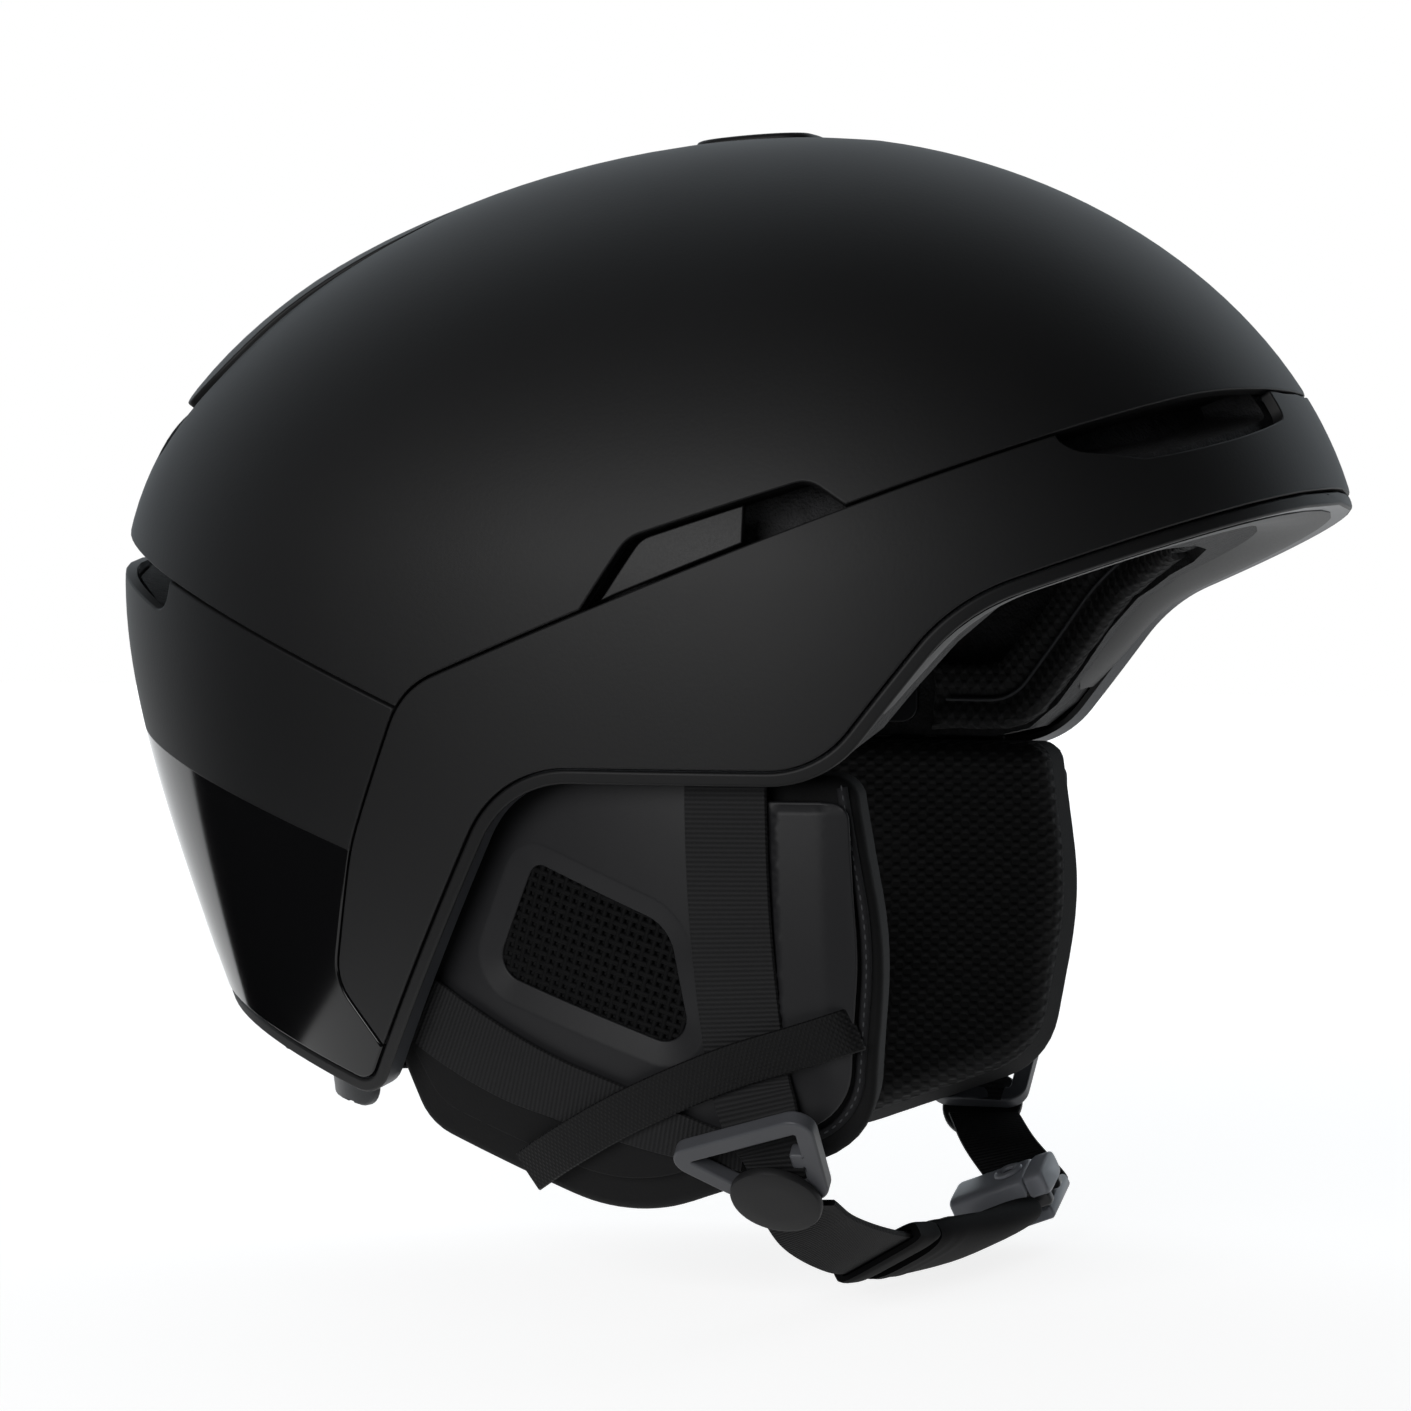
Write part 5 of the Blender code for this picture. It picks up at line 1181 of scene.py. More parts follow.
def stitch_tree():
    """Return a tree that lays short stitches along loose edges, a given step apart."""
    tree, given = start_tree("stitches", Step="Float", Length="Float", Thickness="Float", Finish="Material")
    line = node(tree, "GeometryNodeMeshToCurve", {"Mesh": given.outputs["Geometry"]})
    spots = node(tree, "GeometryNodeCurveToPoints",
                 {"Curve": line.outputs[0], "Length": given.outputs["Step"]}, mode="LENGTH")
    half = node(tree, "ShaderNodeMath", {0: given.outputs["Thickness"], 1: 0.5}, operation="MULTIPLY")
    thread = node(tree, "GeometryNodeMeshUVSphere",
                  {"Segments": 8, "Rings": 6, "Radius": half.outputs["Value"]})
    longer = node(tree, "ShaderNodeMath", {0: given.outputs["Length"], 1: given.outputs["Thickness"]},
                  operation="DIVIDE")
    shape = node(tree, "ShaderNodeCombineXYZ", {"X": 1.0, "Y": 1.0, "Z": longer.outputs["Value"]})
    laid = node(tree, "GeometryNodeInstanceOnPoints",
                {"Points": spots.outputs["Points"], "Instance": thread.outputs[0],
                 "Rotation": spots.outputs["Rotation"], "Scale": shape.outputs["Vector"]})
    real = node(tree, "GeometryNodeRealizeInstances", {"Geometry": laid.outputs[0]})
    smooth_thread = node(tree, "GeometryNodeSetShadeSmooth", {"Geometry": real.outputs[0]})
    done = node(tree, "GeometryNodeSetMaterial", {"Geometry": smooth_thread.outputs[0],
                                                  "Material": given.outputs["Finish"]})
    node(tree, "NodeGroupOutput", {0: done.outputs[0]})
    return tree


plate_plastic = moulded_plastic("moulded_ear_plate", "#18181a", "#1d1d1f", roughness=0.54)
mesh_thread = moulded_plastic("woven_monofilament", "#070708", "#0b0b0c", roughness=0.7, shine=0.12)
# The two tones are painted shade in the gaps and painted highlight on the dot tops.
cushion_knit = dot_knit("spacer_knit", 0.0022, 0.0015, "#060607", "#141415")
cover_cloth = smooth_cloth("stretch_cover_cloth", "#080809", "#0e0e0f")
piping_cloth = smooth_cloth("piping_cloth", "#1a1a1c", "#232325")
stitches = stitch_tree()
thread_pitch = 0.0021
thread_radius = 0.00072
thread_sway = 0.0001
thread_depth = 0.0029
thread_turn = math.radians(18)
thread_reach = 0.034
thread_count = 15
mesh_lap = 0.0012
mesh_outline = grown(ear_window, mesh_lap)


def thread_lines(facing):
    """Return the woven mesh's threads as lines, each over one crossing thread and under the next."""
    lines = []
    middle = np.array([np.mean([corner[axis] for corner in ear_window]) for axis in (0, 1)])
    run = np.array((math.cos(thread_turn), math.sin(thread_turn)))
    steps = np.arange(-thread_reach, thread_reach, thread_pitch / 4)
    for weft in (0, 1):
        ahead = np.array((-run[1], run[0])) if weft else run
        across = run if weft else np.array((-run[1], run[0]))
        for number in range(-thread_count, thread_count + 1):
            spots = middle + across * number * thread_pitch + steps[:, None] * ahead
            kept = within(spots, mesh_outline)
            sway = thread_sway * np.cos(math.pi * steps / thread_pitch) * (-1) ** (number + weft)
            x = facing * (ear_x(spots[:, 0], spots[:, 1]) - thread_depth + sway)
            points = np.stack([x, spots[:, 0], spots[:, 1]], axis=1)[kept]
            if len(points) > 2:
                lines.append(points)
    return lines


def in_plate(points):
    """Say which points belong to an ear plate."""
    return within(side(points), ear_plate) & ~within(side(points), ear_window)


cover_y, cover_z = np.array(cover_line[::-1]).T
piping_inset = 0.0009
piping_step = 0.0015
piping_radius = 0.0012
piping_depth = 0.0031
piping_top = plate_binding + 0.003
piping_back = -0.040
stitch_depth = 0.0020
stitch_ahead = 0.0003
stitch_step = 0.0021
stitch_length = 0.0013
stitch_thick = 0.0004
edge_line = [(y, z) for y, z in outline_chain(grown(ear_pad, -piping_inset), piping_step)
             if z < piping_top and y < piping_back]
edge_line.sort(key=lambda spot: -spot[1])
for side_name, facing in sides.items():
    plate = ear_piece(f"ear_plate_moulding_{side_name}", facing,
                      [ear_plate, *frame_lines, ear_window, ridge_crest], in_plate, 0, plate_wall,
                      plate_edge, plate_plastic, plate_relief, pitch=plate_pitch)
    plate.data.materials.append(cover_cloth)
    for face in plate.data.polygons:
        if face.center.z < np.interp(face.center.y, cover_y, cover_z):
            face.material_index = 1
    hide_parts(f"ear_plate_{side_name}")
    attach(plate, "helmet")

    weave = grow_lines(f"ear_mesh_threads_{side_name}", thread_lines(facing), round_cords,
                       Radius=thread_radius, Finish=mesh_thread)
    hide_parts(f"ear_mesh_{side_name}")
    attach(weave, "helmet")

    pad = ear_piece(f"ear_cushion_foam_{side_name}", facing, [cushion_face],
                    lambda points: within(side(points), cushion_face), cushion_lift, cushion_thick,
                    cushion_roll, cushion_knit, cushion_relief, out=-1, back_edge=cushion_back_edge,
                    pitch=cushion_pitch, swell=cushion_roll)
    pad.data.materials.append(cover_cloth)
    for face in pad.data.polygons:
        if facing * face.center.x > ear_x(face.center.y, face.center.z) - cover_wrap:
            face.material_index = 1
    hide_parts(f"ear_cushion_{side_name}")
    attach(pad, "helmet")

    piping_line = [(facing * (ear_x(y, z) - piping_depth), y, z) for y, z in edge_line]
    piping = grow_lines(f"ear_piping_{side_name}", [piping_line], round_cords, Radius=piping_radius,
                        Finish=piping_cloth)
    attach(piping, "helmet")
    seam_line = [(facing * (ear_x(y, z) - stitch_depth), y - stitch_ahead, z) for y, z in edge_line]
    seam_stitches = grow_lines(f"ear_stitches_{side_name}", [seam_line], stitches, Step=stitch_step,
                               Length=stitch_length, Thickness=stitch_thick, Finish=seam_thread)
    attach(seam_stitches, "helmet")


# Ear pad straps: woven polyester webbing, front and rear, each pinned inside the shell with a moulded disc.
# A narrow braided elastic crosses over both and keeps the pad against the head.

web_wall = 0.0014
elastic_wall = 0.0011
strap_steps = 10
ribbon_round = 0.0003
front_strap = [(-0.0370, 0.0460, 0.0004, 0.018), (-0.0370, 0.0270, 0.0004, 0.018),
               (-0.0374, 0.0000, 0.0004, 0.018), (-0.0384, -0.0220, 0.0004, 0.018),
               (-0.0394, -0.0350, 0.0005, 0.018), (-0.0406, -0.0410, 0.0012, 0.018),
               (-0.0420, -0.0460, 0.0022, 0.017), (-0.0434, -0.0505, 0.0024, 0.015),
               (-0.0440, -0.0548, 0.0022, 0.013), (-0.0440, -0.0590, 0.0002, 0.012)]
rear_strap = [(0.0500, -0.0180, 0.0004, 0.017), (0.0347, -0.0274, 0.0004, 0.017),
              (0.0192, -0.0350, 0.0004, 0.016), (0.0060, -0.0397, 0.0004, 0.014),
              (-0.0080, -0.0440, 0.0004, 0.013), (-0.0195, -0.0476, 0.0004, 0.011),
              (-0.0285, -0.0500, 0.0004, 0.009), (-0.0365, -0.0518, 0.0006, 0.008)]
elastic = [(0.0160, -0.0592, 0.0014, 0.0095), (0.0050, -0.0524, 0.0024, 0.0095),
           (-0.0124, -0.0429, 0.0026, 0.0095), (-0.0344, -0.0332, 0.0026, 0.0095),
           (-0.0520, -0.0274, 0.0026, 0.0095), (-0.0600, -0.0247, 0.0014, 0.0095),
           (-0.0628, -0.0238, -0.0012, 0.0095)]


def smooth(rows, steps):
    """Return rows of numbers on a smooth curve through the given ones."""
    rows = np.array(rows, float)
    ends = np.concatenate([[rows[0] * 2 - rows[1]], rows, [rows[-1] * 2 - rows[-2]]])
    curve = []
    for a, b, c, d in zip(ends, ends[1:], ends[2:], ends[3:]):
        for t in np.arange(steps) / steps:
            curve.append(0.5 * (2 * b + (c - a) * t + (2 * a - 5 * b + 4 * c - d) * t * t
                                + (3 * b - a - 3 * c + d) * t ** 3))
    return np.array([*curve, rows[-1]])


def ribbon_section(width, wall):
    """Return a ribbon's section as (across, height), with rounded edges."""
    flat = [share * width / 2 - math.copysign(ribbon_round, share) * (abs(share) == 1)
            for share in np.linspace(-1, 1, 9)]
    top = [(across, wall) for across in flat]
    low = [(across, 0.0) for across in reversed(flat)]
    return [*top, (width / 2, wall / 2), *low, (-width / 2, wall / 2)]


def ear_strap(name, facing, route, wall, finish):
    """Lay a ribbon over one ear pad along a route of (y, z, lift, width)."""
    stations = smooth(route, strap_steps)
    ahead = np.gradient(stations[:, :2], axis=0)
    ahead /= np.linalg.norm(ahead, axis=1, keepdims=True)
    across = np.stack([-ahead[:, 1], ahead[:, 0]], axis=1)
    along = lengths_along(stations[:, :2])
    rings, uv = [], []
    for station, aside, run in zip(stations, across, along):
        ring = []
        for offset, height in ribbon_section(station[3], wall):
            y, z = station[:2] + aside * offset
            ring.append((facing * (ear_x(y, z) + station[2] + height), y, z))
            uv.append((offset, run))
        rings.append(ring)
    return sweep(name, rings, finish, uv)


def grosgrain(name, rib, dark, light):
    """Ribbed webbing: round ribs across the width, with a fine yarn twist along each."""
    finish, tree, surface = start_finish(name)
    laid = node(tree, "ShaderNodeUVMap").outputs["UV"]
    ribs = node(tree, "ShaderNodeTexWave", {"Vector": laid, "Scale": wave_turn / rib}, bands_direction="Y")
    twist = node(tree, "ShaderNodeTexWave", {"Vector": laid, "Scale": wave_turn / (rib * 0.55)},
                 bands_direction="DIAGONAL")
    height = node(tree, "ShaderNodeMath", {0: twist.outputs["Fac"], 1: 0.25, 2: ribs.outputs["Fac"]},
                  operation="MULTIPLY_ADD")
    coat(tree, surface, (dark, light), ribs.outputs["Fac"], height.outputs["Value"], strength=0.7,
         depth=0.0002, inputs={"Roughness": 0.78, "Specular IOR Level": 0.22})
    return finish


def braid(name, pitch, dark, light):
    """Braided elastic: two sets of fine yarns that cross on the slant, a little shinier than webbing."""
    finish, tree, surface = start_finish(name)
    laid = node(tree, "ShaderNodeUVMap").outputs["UV"]
    slants = []
    for turn in (35, -35):
        turned_map = node(tree, "ShaderNodeMapping",
                          {"Vector": laid, "Rotation": (0, 0, math.radians(turn))})
        slants.append(node(tree, "ShaderNodeTexWave", {"Vector": turned_map.outputs["Vector"],
                                                       "Scale": wave_turn / pitch}, bands_direction="Y"))
    height = node(tree, "ShaderNodeMath", {0: slants[0].outputs["Fac"], 1: slants[1].outputs["Fac"]},
                  operation="MULTIPLY")
    coat(tree, surface, (dark, light), height.outputs["Value"], height.outputs["Value"], strength=0.7,
         depth=0.0002, inputs={"Roughness": 0.7, "Specular IOR Level": 0.22})
    return finish


webbing = grosgrain("grosgrain_webbing", 0.001, "#171718", "#252526")
elastic_braid = braid("braided_elastic", 0.0009, "#070708", "#121213")
for side_name, facing in sides.items():
    for kind, route, wall, cloth in (("front_strap", front_strap, web_wall, webbing),
                                     ("rear_strap", rear_strap, web_wall, webbing),
                                     ("ear_elastic", elastic, elastic_wall, elastic_braid)):
        strap = ear_strap(f"{kind}_web_{side_name}", facing, route, wall, cloth)
        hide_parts(f"{kind}_{side_name}")
        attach(strap, "helmet")
    finish_solid(f"front_anchor_{side_name}", black_abs, rounding=0.0004)
    finish_solid(f"rear_anchor_{side_name}", black_abs, rounding=0.0004)


# Strap dividers: glass-filled nylon frames under the jaw that gather a side's two straps into the chin strap.
# Each has a tooth that grips the webbing, and a round cap snapped over its lower bar.

divider_place = (-0.0450, -0.0415)
divider_tilt = math.radians(44)
divider_lift = 0.0132
divider_wall = 0.0036
divider_edge = 0.0006
divider_step = 0.0012
divider_pitch = 0.02
divider_map = ((-0.03, -0.03), (0.03, 0.03))
divider_outline = [(-0.0262, 0.0135, 0.0045), (0.0115, -0.0027, 0.0045), (0.0105, 0.0260, 0.005),
                   (-0.0110, 0.0260, 0.006)]
bar_width = 0.0042
divider_opening = grown(divider_outline, -bar_width)
tooth_reach = 0.0022
tooth_round = 0.0006
tooth_x = divider_opening[2][0]
tooth_y = (divider_opening[1][1] + divider_opening[2][1]) / 2
tooth = [(tooth_x - tooth_reach, tooth_y - tooth_reach, tooth_round),
         (tooth_x + tooth_reach, tooth_y - tooth_reach, 0),
         (tooth_x + tooth_reach, tooth_y + tooth_reach, 0),
         (tooth_x - tooth_reach, tooth_y + tooth_reach, tooth_round)]
cap_place = (-0.0010, 0.0240)
cap_radius = 0.0100
cap_wall = 0.0022
cap_gap = 0.0004
cap_low = divider_wall / 2 + cap_gap
cap_profile = [(0.0, 0.0), (cap_radius - 0.0004, 0.0), (cap_radius, 0.0004),
               (cap_radius, cap_wall - 0.0008), (cap_radius - 0.0003, cap_wall - 0.0003),
               (cap_radius - 0.0010, cap_wall - 0.0001), (cap_radius * 0.5, cap_wall), (0.0, cap_wall)]
grey_nylon = moulded_plastic("glass_filled_nylon", "#494a4e", "#545559", roughness=0.42)
cap_nylon = moulded_plastic("moulded_cap_nylon", "#19191a", "#1e1e1f", roughness=0.55, shine=0.2)


def divider_frame(facing):
    """Return the place of one divider: forward, down and face directions as its axes."""
    y, z = divider_place
    forward = Vector((0, -1, 0))
    down = Vector((-facing * math.sin(divider_tilt), 0, -math.cos(divider_tilt)))
    place = Matrix((forward, down, forward.cross(down))).transposed().to_4x4()
    place.translation = (facing * (ear_x(y, z) + divider_lift), y, z)
    return place


for side_name, facing in sides.items():
    frame_place = divider_frame(facing)
    turn = np.array(frame_place.to_3x3())
    middle = np.array(frame_place.translation)

    def on_divider(flat):
        local = np.stack([facing * flat[:, 0], flat[:, 1], np.full(len(flat), facing * divider_wall / 2)],
                         axis=1)
        return middle + local @ turn.T, np.tile(facing * turn[:, 2], (len(flat), 1))

    def in_divider(points):
        spots = ((points - middle) @ turn)[:, :2]
        return (within(spots, divider_outline) & ~within(spots, divider_opening)) | within(spots, tooth)

    bar_chains = [[(facing * a, b) for a, b in outline_chain(outline, divider_step)]
                  for outline in (divider_outline, divider_opening, tooth)]
    bar_flat, bar_faces = mesh_region(bar_chains, in_divider, on_divider, divider_pitch, divider_map)
    divider = shell_piece(f"divider_frame_{side_name}", bar_flat, bar_faces, on_divider, divider_wall,
                          divider_edge, grey_nylon, back_edge=divider_edge)
    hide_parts(f"strap_divider_{side_name}")
    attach(divider, "helmet")

    cap = turned(f"divider_cap_disc_{side_name}",
                 [(radius, facing * (cap_low + height)) for radius, height in cap_profile],
                 frame_place @ Matrix.Translation((*cap_place, 0)), cap_nylon)
    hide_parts(f"divider_cap_{side_name}")
    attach(cap, "helmet")


# Chin strap: 18 mm webbing from the right divider through a rubber keeper and a padded sleeve to the buckle.
# Its ribs are finer than the side straps'; keeper and sleeve are moulded in rubber and slid on to it.

chin_width = 0.018
chin_start_inset = 0.00273
chin_half_span = (divider_frame(1) @ Vector((0, divider_outline[2][1], 0))).x - chin_start_inset
chin_right = [(-1.000, -0.0460, -0.0624, -1.00, 0.05), (-0.846, -0.0476, -0.0703, -0.92, 0.38),
              (-0.615, -0.0510, -0.0768, -0.85, 0.52), (-0.385, -0.0526, -0.0799, -0.86, 0.50),
              (-0.103, -0.0562, -0.0814, -0.86, 0.50), (0.192, -0.0602, -0.0824, -0.88, 0.46),
              (0.385, -0.0616, -0.0820, -0.91, 0.41), (0.459, -0.0614, -0.0806, -0.93, 0.37)]
chin_left = [(0.885, -0.0525, -0.0685, -0.97, 0.20), (1.000, -0.0460, -0.0624, -1.00, 0.05)]
chin_steps = 12
bore_width = 0.0190
keeper_stations = (2.65, 3.25)
keeper_width = 0.0224
keeper_thick = 0.0058
keeper_fall = 0.0012
keeper_bore = 0.0022
sleeve_stations = (3.36, 6.5)
sleeve_width = 0.0225
sleeve_thick = 0.0080
sleeve_bore = 0.0024
sleeve_draw = 0.05
sleeve_ridges = (0.06, 0.15)
sleeve_ridge_width = 0.018
sleeve_ridge_height = 0.06


def chin_frames(route):
    """Return places, runs, width directions and face directions along a chin strap's route."""
    stations = smooth(route, chin_steps)
    places = stations[:, :3]
    runs = np.gradient(places, axis=0)
    runs /= np.linalg.norm(runs, axis=1, keepdims=True)
    widths = np.stack([np.zeros(len(stations)), stations[:, 3], stations[:, 4]], axis=1)
    widths /= np.linalg.norm(widths, axis=1, keepdims=True)
    faces = np.cross(runs, widths)
    return places, runs, widths, faces / np.linalg.norm(faces, axis=1, keepdims=True)


def chin_rings(frames, first, last, section):
    """Return rings of a section of (across, through) between two stations; it may change along the way."""
    places, runs, widths, faces = frames
    numbers = range(round(first * chin_steps), round(last * chin_steps) + 1)
    rings = []
    for number in numbers:
        share = (number - numbers[0]) / (len(numbers) - 1)
        rings.append([places[number] + widths[number] * across + faces[number] * through
                      for across, through in section(share)])
    return rings


def chin_web(name, frames, last):
    """Sweep plain chin webbing along its route."""
    section = [(across, height - web_wall / 2) for across, height in ribbon_section(chin_width, web_wall)]
    rings = chin_rings(frames, 0, last, lambda share: section)
    along = lengths_along(frames[0])
    uv = [(across, along[row]) for row in range(len(rings)) for across, through in section]
    return sweep(name, rings, chin_webbing, uv)


def oval(width, thick, power, count=40):
    """Return a flattened oval section; a low power makes it boxier."""
    ring = []
    for index in range(count):
        turn = math.tau * index / count
        across, through = math.cos(turn), math.sin(turn)
        ring.append((math.copysign(abs(across) ** power, across) * width / 2,
                     math.copysign(abs(through) ** power, through) * thick / 2))
    return ring


# Its tones are darker than the side straps' webbing: the webbing's own black plus painted shade for the
# weaker light low under the jaw.
chin_webbing = grosgrain("fine_grosgrain_webbing", 0.0008, "#0c0c0d", "#171718")


def spread(route):
    """Return a route whose first number is a length, given one where it is a share of the half span."""
    return [(share * chin_half_span, *rest) for share, *rest in route]


right_frames = chin_frames(spread(chin_right))
right_web = chin_web("chin_web_right", right_frames, len(chin_right) - 1)
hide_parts("chin_strap_right")
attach(right_web, "helmet")


def keeper_section(share):
    """Return the keeper's section, which is thinner at both ends."""
    return oval(keeper_width, keeper_thick - keeper_fall * (2 * share - 1) ** 4, power=0.4)


keeper_rubber = moulded_plastic("moulded_keeper_rubber", "#060607", "#0a0a0b", roughness=0.75, shine=0.06)
keeper_rings = chin_rings(right_frames, *keeper_stations, keeper_section)
keeper_bores = chin_rings(right_frames, *keeper_stations,
                          lambda share: oval(bore_width, keeper_bore, power=0.2))
keeper = sweep("keeper_ring", keeper_rings, keeper_rubber, bores=keeper_bores)
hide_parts("strap_keeper")
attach(keeper, "helmet")


def sleeve_section(share):
    """Return the sleeve's section: two shallow ridges near its open end, drawn in a little at both ends."""
    ridges = sum(math.exp(-((share - at) / sleeve_ridge_width) ** 2) for at in sleeve_ridges)
    ends = 1 - sleeve_draw * abs(2 * share - 1) ** 8
    thick = sleeve_thick * (ends - sleeve_ridge_height + sleeve_ridge_height * ridges)
    return oval(sleeve_width * ends, thick, power=0.7)


sleeve_rings = chin_rings(right_frames, *sleeve_stations, sleeve_section)
sleeve_bores = chin_rings(right_frames, *sleeve_stations,
                          lambda share: oval(bore_width, sleeve_bore, power=0.3))
sleeve = sweep("chin_sleeve_tube", sleeve_rings, keeper_rubber, bores=sleeve_bores)
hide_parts("chin_sleeve")
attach(sleeve, "helmet")


# Buckle and left strap: a black acetal socket with a riveted grey cover and end cap, and a grey tongue.
# A ring is pressed into the tongue, and the short left web is sewn round the tongue's bar.
# In the real buckle the tongue slides out sideways and takes that end of the web along, and the divider holds
# the other; here the web is laid once, at rest.

socket_length = 0.014
socket_thick = 0.005
socket_gap = 0.002
slide_gap = 0.0004
tongue_thick = 0.0036
tongue_reach = 0.0085
tongue_end = socket_length + tongue_reach
tongue_low = socket_thick / 2 + slide_gap
bar_gap = 0.0008
# Painted light: this grey is set lighter than the acetal's own grey, to make up for the shade the buckle lies
# in under the jaw.
buckle_grey = moulded_plastic("moulded_acetal", "#96989f", "#a0a2a9", roughness=0.34)
socket_black = moulded_plastic("moulded_black_acetal", "#1e1e20", "#252527", roughness=0.36)
finish_solid("buckle_socket", socket_black, rounding=0.0008)
finish_solid("buckle_tongue", buckle_grey, rounding=0.0004)

strap_run = Vector(right_frames[1][-1])
strap_width = Vector(right_frames[2][-1])
strap_width = (strap_width - strap_run * strap_width.dot(strap_run)).normalized()
buckle = Matrix((strap_run, strap_width, strap_run.cross(strap_width))).transposed().to_4x4()
buckle.translation = Vector(right_frames[0][-1]) + strap_run * socket_gap
eyelet_profile = [(0.0016, -0.0004), (0.0030, -0.0004), (0.0036, 0.0002), (0.0034, 0.0008),
                  (0.0026, 0.0011), (0.0018, 0.0008), (0.0016, 0.0002), (0.0016, -0.0004)]
eyelet_along = 0.0108
eyelet_place = Matrix.Translation((eyelet_along, 0, tongue_low + tongue_thick))
eyelet = turned("tongue_eyelet", eyelet_profile, buckle @ eyelet_place, buckle_grey)
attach(eyelet, "tongue")
housing_length = 0.0152
housing_depth = 0.0064
housing_low = -0.0033
housing_ends = ((0, 0.86), (0.0003, 0.95), (0.0009, 1))
cover_start = -0.0118
cover_size = 0.96
cap_start = 0.0078
cap_end = 0.0129
cap_split = 0.0002


def socket_block(name, start, end, size, finish):
    """Make a rounded block of the socket's housing that runs across the strap's width."""
    section = oval(housing_length * size, housing_depth * size, power=0.4)
    steps = [(start + run, draw) for run, draw in housing_ends]
    steps += [(end - run, draw) for run, draw in reversed(housing_ends)]
    rings = [[buckle @ Vector((socket_length / 2 + across * draw, place, housing_low + through * draw))
              for across, through in section] for place, draw in steps]
    block = sweep(name, rings, finish)
    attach(block, "helmet")


socket_block("socket_cover", cover_start, cap_start - cap_split, cover_size, buckle_grey)
socket_block("socket_end_cap", cap_start, cap_end, 1, buckle_grey)
rivet_across = 0.0030
rivet_place = Matrix.Translation((socket_length / 2, rivet_across,
                                  housing_low - housing_depth * cover_size / 2))
rivet_turn = Matrix.Rotation(math.pi, 4, "X")
cover_rivet = turned("socket_cover_rivet", eyelet_profile, buckle @ rivet_place @ rivet_turn, buckle_grey)
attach(cover_rivet, "helmet")
well_profile = [(0, -0.0002), (0.0017, -0.0002), (0.0017, 0.0002), (0, 0.0002)]
rivet_well = turned("socket_rivet_well", well_profile, buckle @ rivet_place @ rivet_turn, socket_black)
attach(rivet_well, "helmet")
tongue_bar = buckle @ Vector((tongue_end + bar_gap, 0, tongue_low + tongue_thick / 2))
left_route = [(*tongue_bar, *strap_width[1:]), (*(tongue_bar + strap_run * 0.003), *strap_width[1:]),
              *spread(chin_left)]
left_frames = chin_frames(left_route)
left_web = chin_web("chin_web_left", left_frames, len(left_route) - 1)
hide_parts("chin_strap_left")
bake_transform(left_web)


# Studio: a white sweep lit evenly all round, as for a catalogue, with the camera on the wearer's right.
# A black flag behind the camera keeps the middle of the shell dark, so that only its edges catch the white.

camera_turn = math.radians(18.5)
camera_rise = math.radians(2.0)
camera_distance = 1.018
aim = Vector((0, 0, 0.040))
towards = Vector((-math.cos(camera_turn) * math.cos(camera_rise),
                  -math.sin(camera_turn) * math.cos(camera_rise), math.sin(camera_rise)))
lens = bpy.data.cameras.new("camera")
lens.lens = 112.26
lens.sensor_width = 36
camera = bpy.data.objects.new("camera", lens)
camera.location = aim + towards * camera_distance
camera.rotation_euler = (-towards).to_track_quat("-Z", "Y").to_euler()
scene.collection.objects.link(camera)
scene.camera = camera


def white_for_eye(tree):
    """Return a value that is 1 for rays that show the background: straight, mirrored or through glass."""
    path = node(tree, "ShaderNodeLightPath")
    mirrored_too = node(tree, "ShaderNodeMath",
                        {0: path.outputs["Is Camera Ray"], 1: path.outputs["Is Glossy Ray"]},
                        operation="MAXIMUM")
    return node(tree, "ShaderNodeMath",
                {0: mirrored_too.outputs["Value"], 1: path.outputs["Is Transmission Ray"]},
                operation="MAXIMUM").outputs["Value"]


def stage_sheet(name, corners, faces, finish):
    """Add a sheet of the studio."""
    mesh = bpy.data.meshes.new(name)
    mesh.from_pydata([tuple(corner) for corner in corners], [], faces)
    mesh.materials.append(finish)
    sheet = bpy.data.objects.new(name, mesh)
    scene.collection.objects.link(sheet)
    return sheet


floor_reach = 4.0
floor_drop = 0.0005
floor_z = solid_bounds[0][2] - floor_drop
paper_glow = 0.84
sweep_paper, paper_tree, paper_surface = start_finish("white_sweep_paper")
lift = node(paper_tree, "ShaderNodeMath", {0: white_for_eye(paper_tree), 1: paper_glow},
            operation="MULTIPLY")
fill(paper_tree, paper_surface,
     {"Base Color": colour("#b3b3b3"), "Roughness": 1.0, "Specular IOR Level": 0.0,
      "Emission Color": colour("#ffffff"), "Emission Strength": lift.outputs["Value"]})
floor_corners = [(x * floor_reach, y * floor_reach, floor_z)
                 for x, y in ((-1, -1), (1, -1), (1, 1), (-1, 1))]
stage_sheet("sweep_floor", floor_corners, [(0, 1, 2, 3)], sweep_paper)

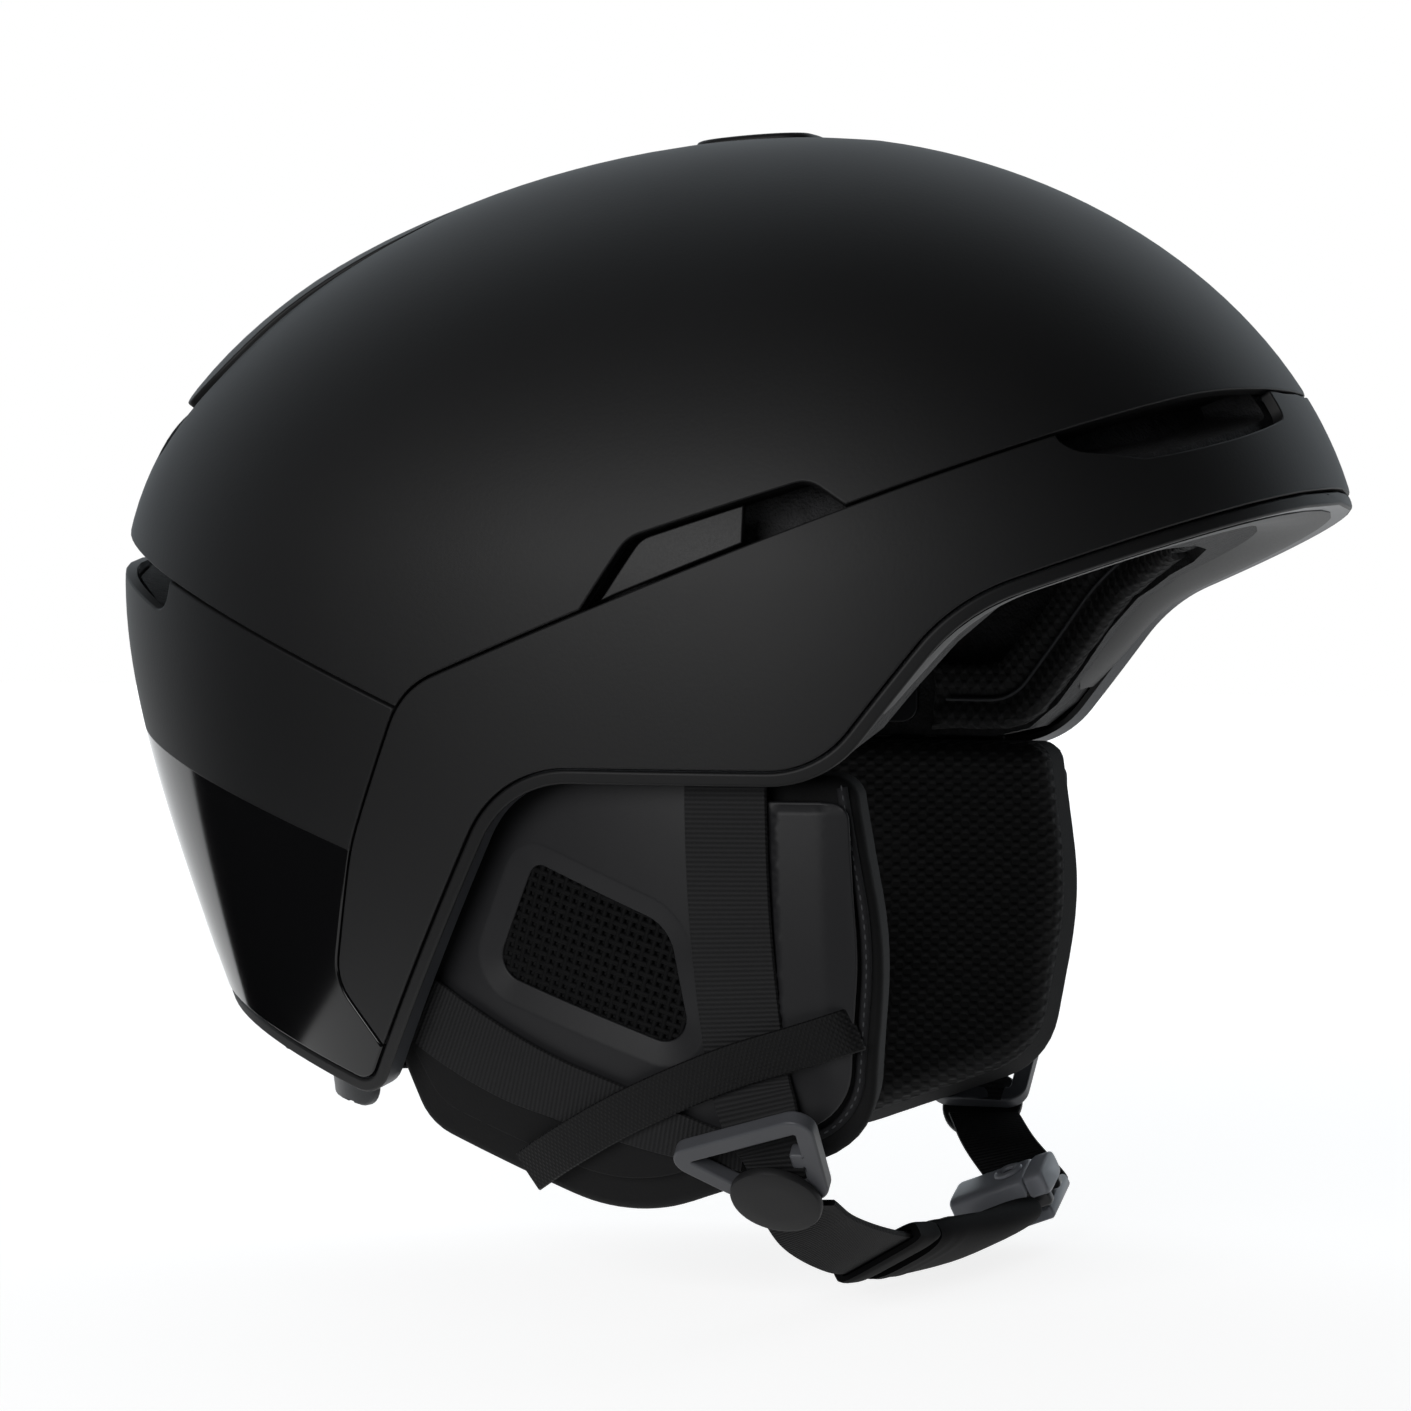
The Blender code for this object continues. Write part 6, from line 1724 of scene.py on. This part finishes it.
flag_cloth, flag_tree, flag_surface = start_finish("black_flag_cloth")
fill(flag_tree, flag_surface,
     {"Base Color": colour("#0a0a0a"), "Roughness": 1.0, "Specular IOR Level": 0.0})
flag_radius = 1.6
flag_spread = math.radians(111)
flag_turn = towards.to_track_quat("Z", "Y").to_matrix()
flag_rings, flag_spokes = 12, 32
flag_points = []
for ring in range(1, flag_rings + 1):
    lean = flag_spread * ring / flag_rings
    for spoke in range(flag_spokes):
        angle = math.tau * spoke / flag_spokes
        out = Vector((math.sin(lean) * math.cos(angle), math.sin(lean) * math.sin(angle), math.cos(lean)))
        flag_points.append(aim + flag_turn @ out * flag_radius)
flag = stage_sheet("black_flag", flag_points, ring_faces(0, flag_rings, flag_spokes), flag_cloth)
flag.visible_camera = False

card_lift = 0.001
card_corners = [(-1.6, -1.6), (-0.17, -1.6), (-0.17, 0.20), (0.10, 0.20), (0.10, 1.6), (-1.6, 1.6)]
card_points = [(x, y, floor_z + card_lift) for x, y in card_corners]
card = stage_sheet("black_floor_card", card_points, [tuple(range(len(card_points)))], flag_cloth)
card.visible_camera = False
card.visible_diffuse = False
card.visible_shadow = False

lamp_distance = 1.3
lamp = bpy.data.lights.new("side_softbox", "AREA")
lamp.shape = "RECTANGLE"
lamp.size = 0.7
lamp.size_y = 0.9
lamp.energy = 11.5
lamp_place = bpy.data.objects.new("side_softbox", lamp)
lamp_out = Vector((-0.95, 0.16, 0.14)).normalized()
lamp_place.location = aim + lamp_out * lamp_distance
lamp_place.rotation_euler = (-lamp_out).to_track_quat("-Z", "Y").to_euler()
lamp_place.visible_camera = False
scene.collection.objects.link(lamp_place)

world = bpy.data.worlds.new("studio_world")
scene.world = world
world.use_nodes = True
sky_tree = world.node_tree
path = node(sky_tree, "ShaderNodeLightPath")
hue = node(sky_tree, "ShaderNodeMix", {"Factor": path.outputs["Is Camera Ray"], "A": colour("#eff8ff"),
                                       "B": colour("#ffffff")}, data_type="RGBA")
bright = node(sky_tree, "ShaderNodeMapRange",
              {"Value": white_for_eye(sky_tree), "To Min": 0.95, "To Max": 1.0})
fill(sky_tree, sky_tree.nodes["Background"],
     {"Color": hue.outputs["Result"], "Strength": bright.outputs["Result"]})
scene.view_settings.view_transform = "Standard"
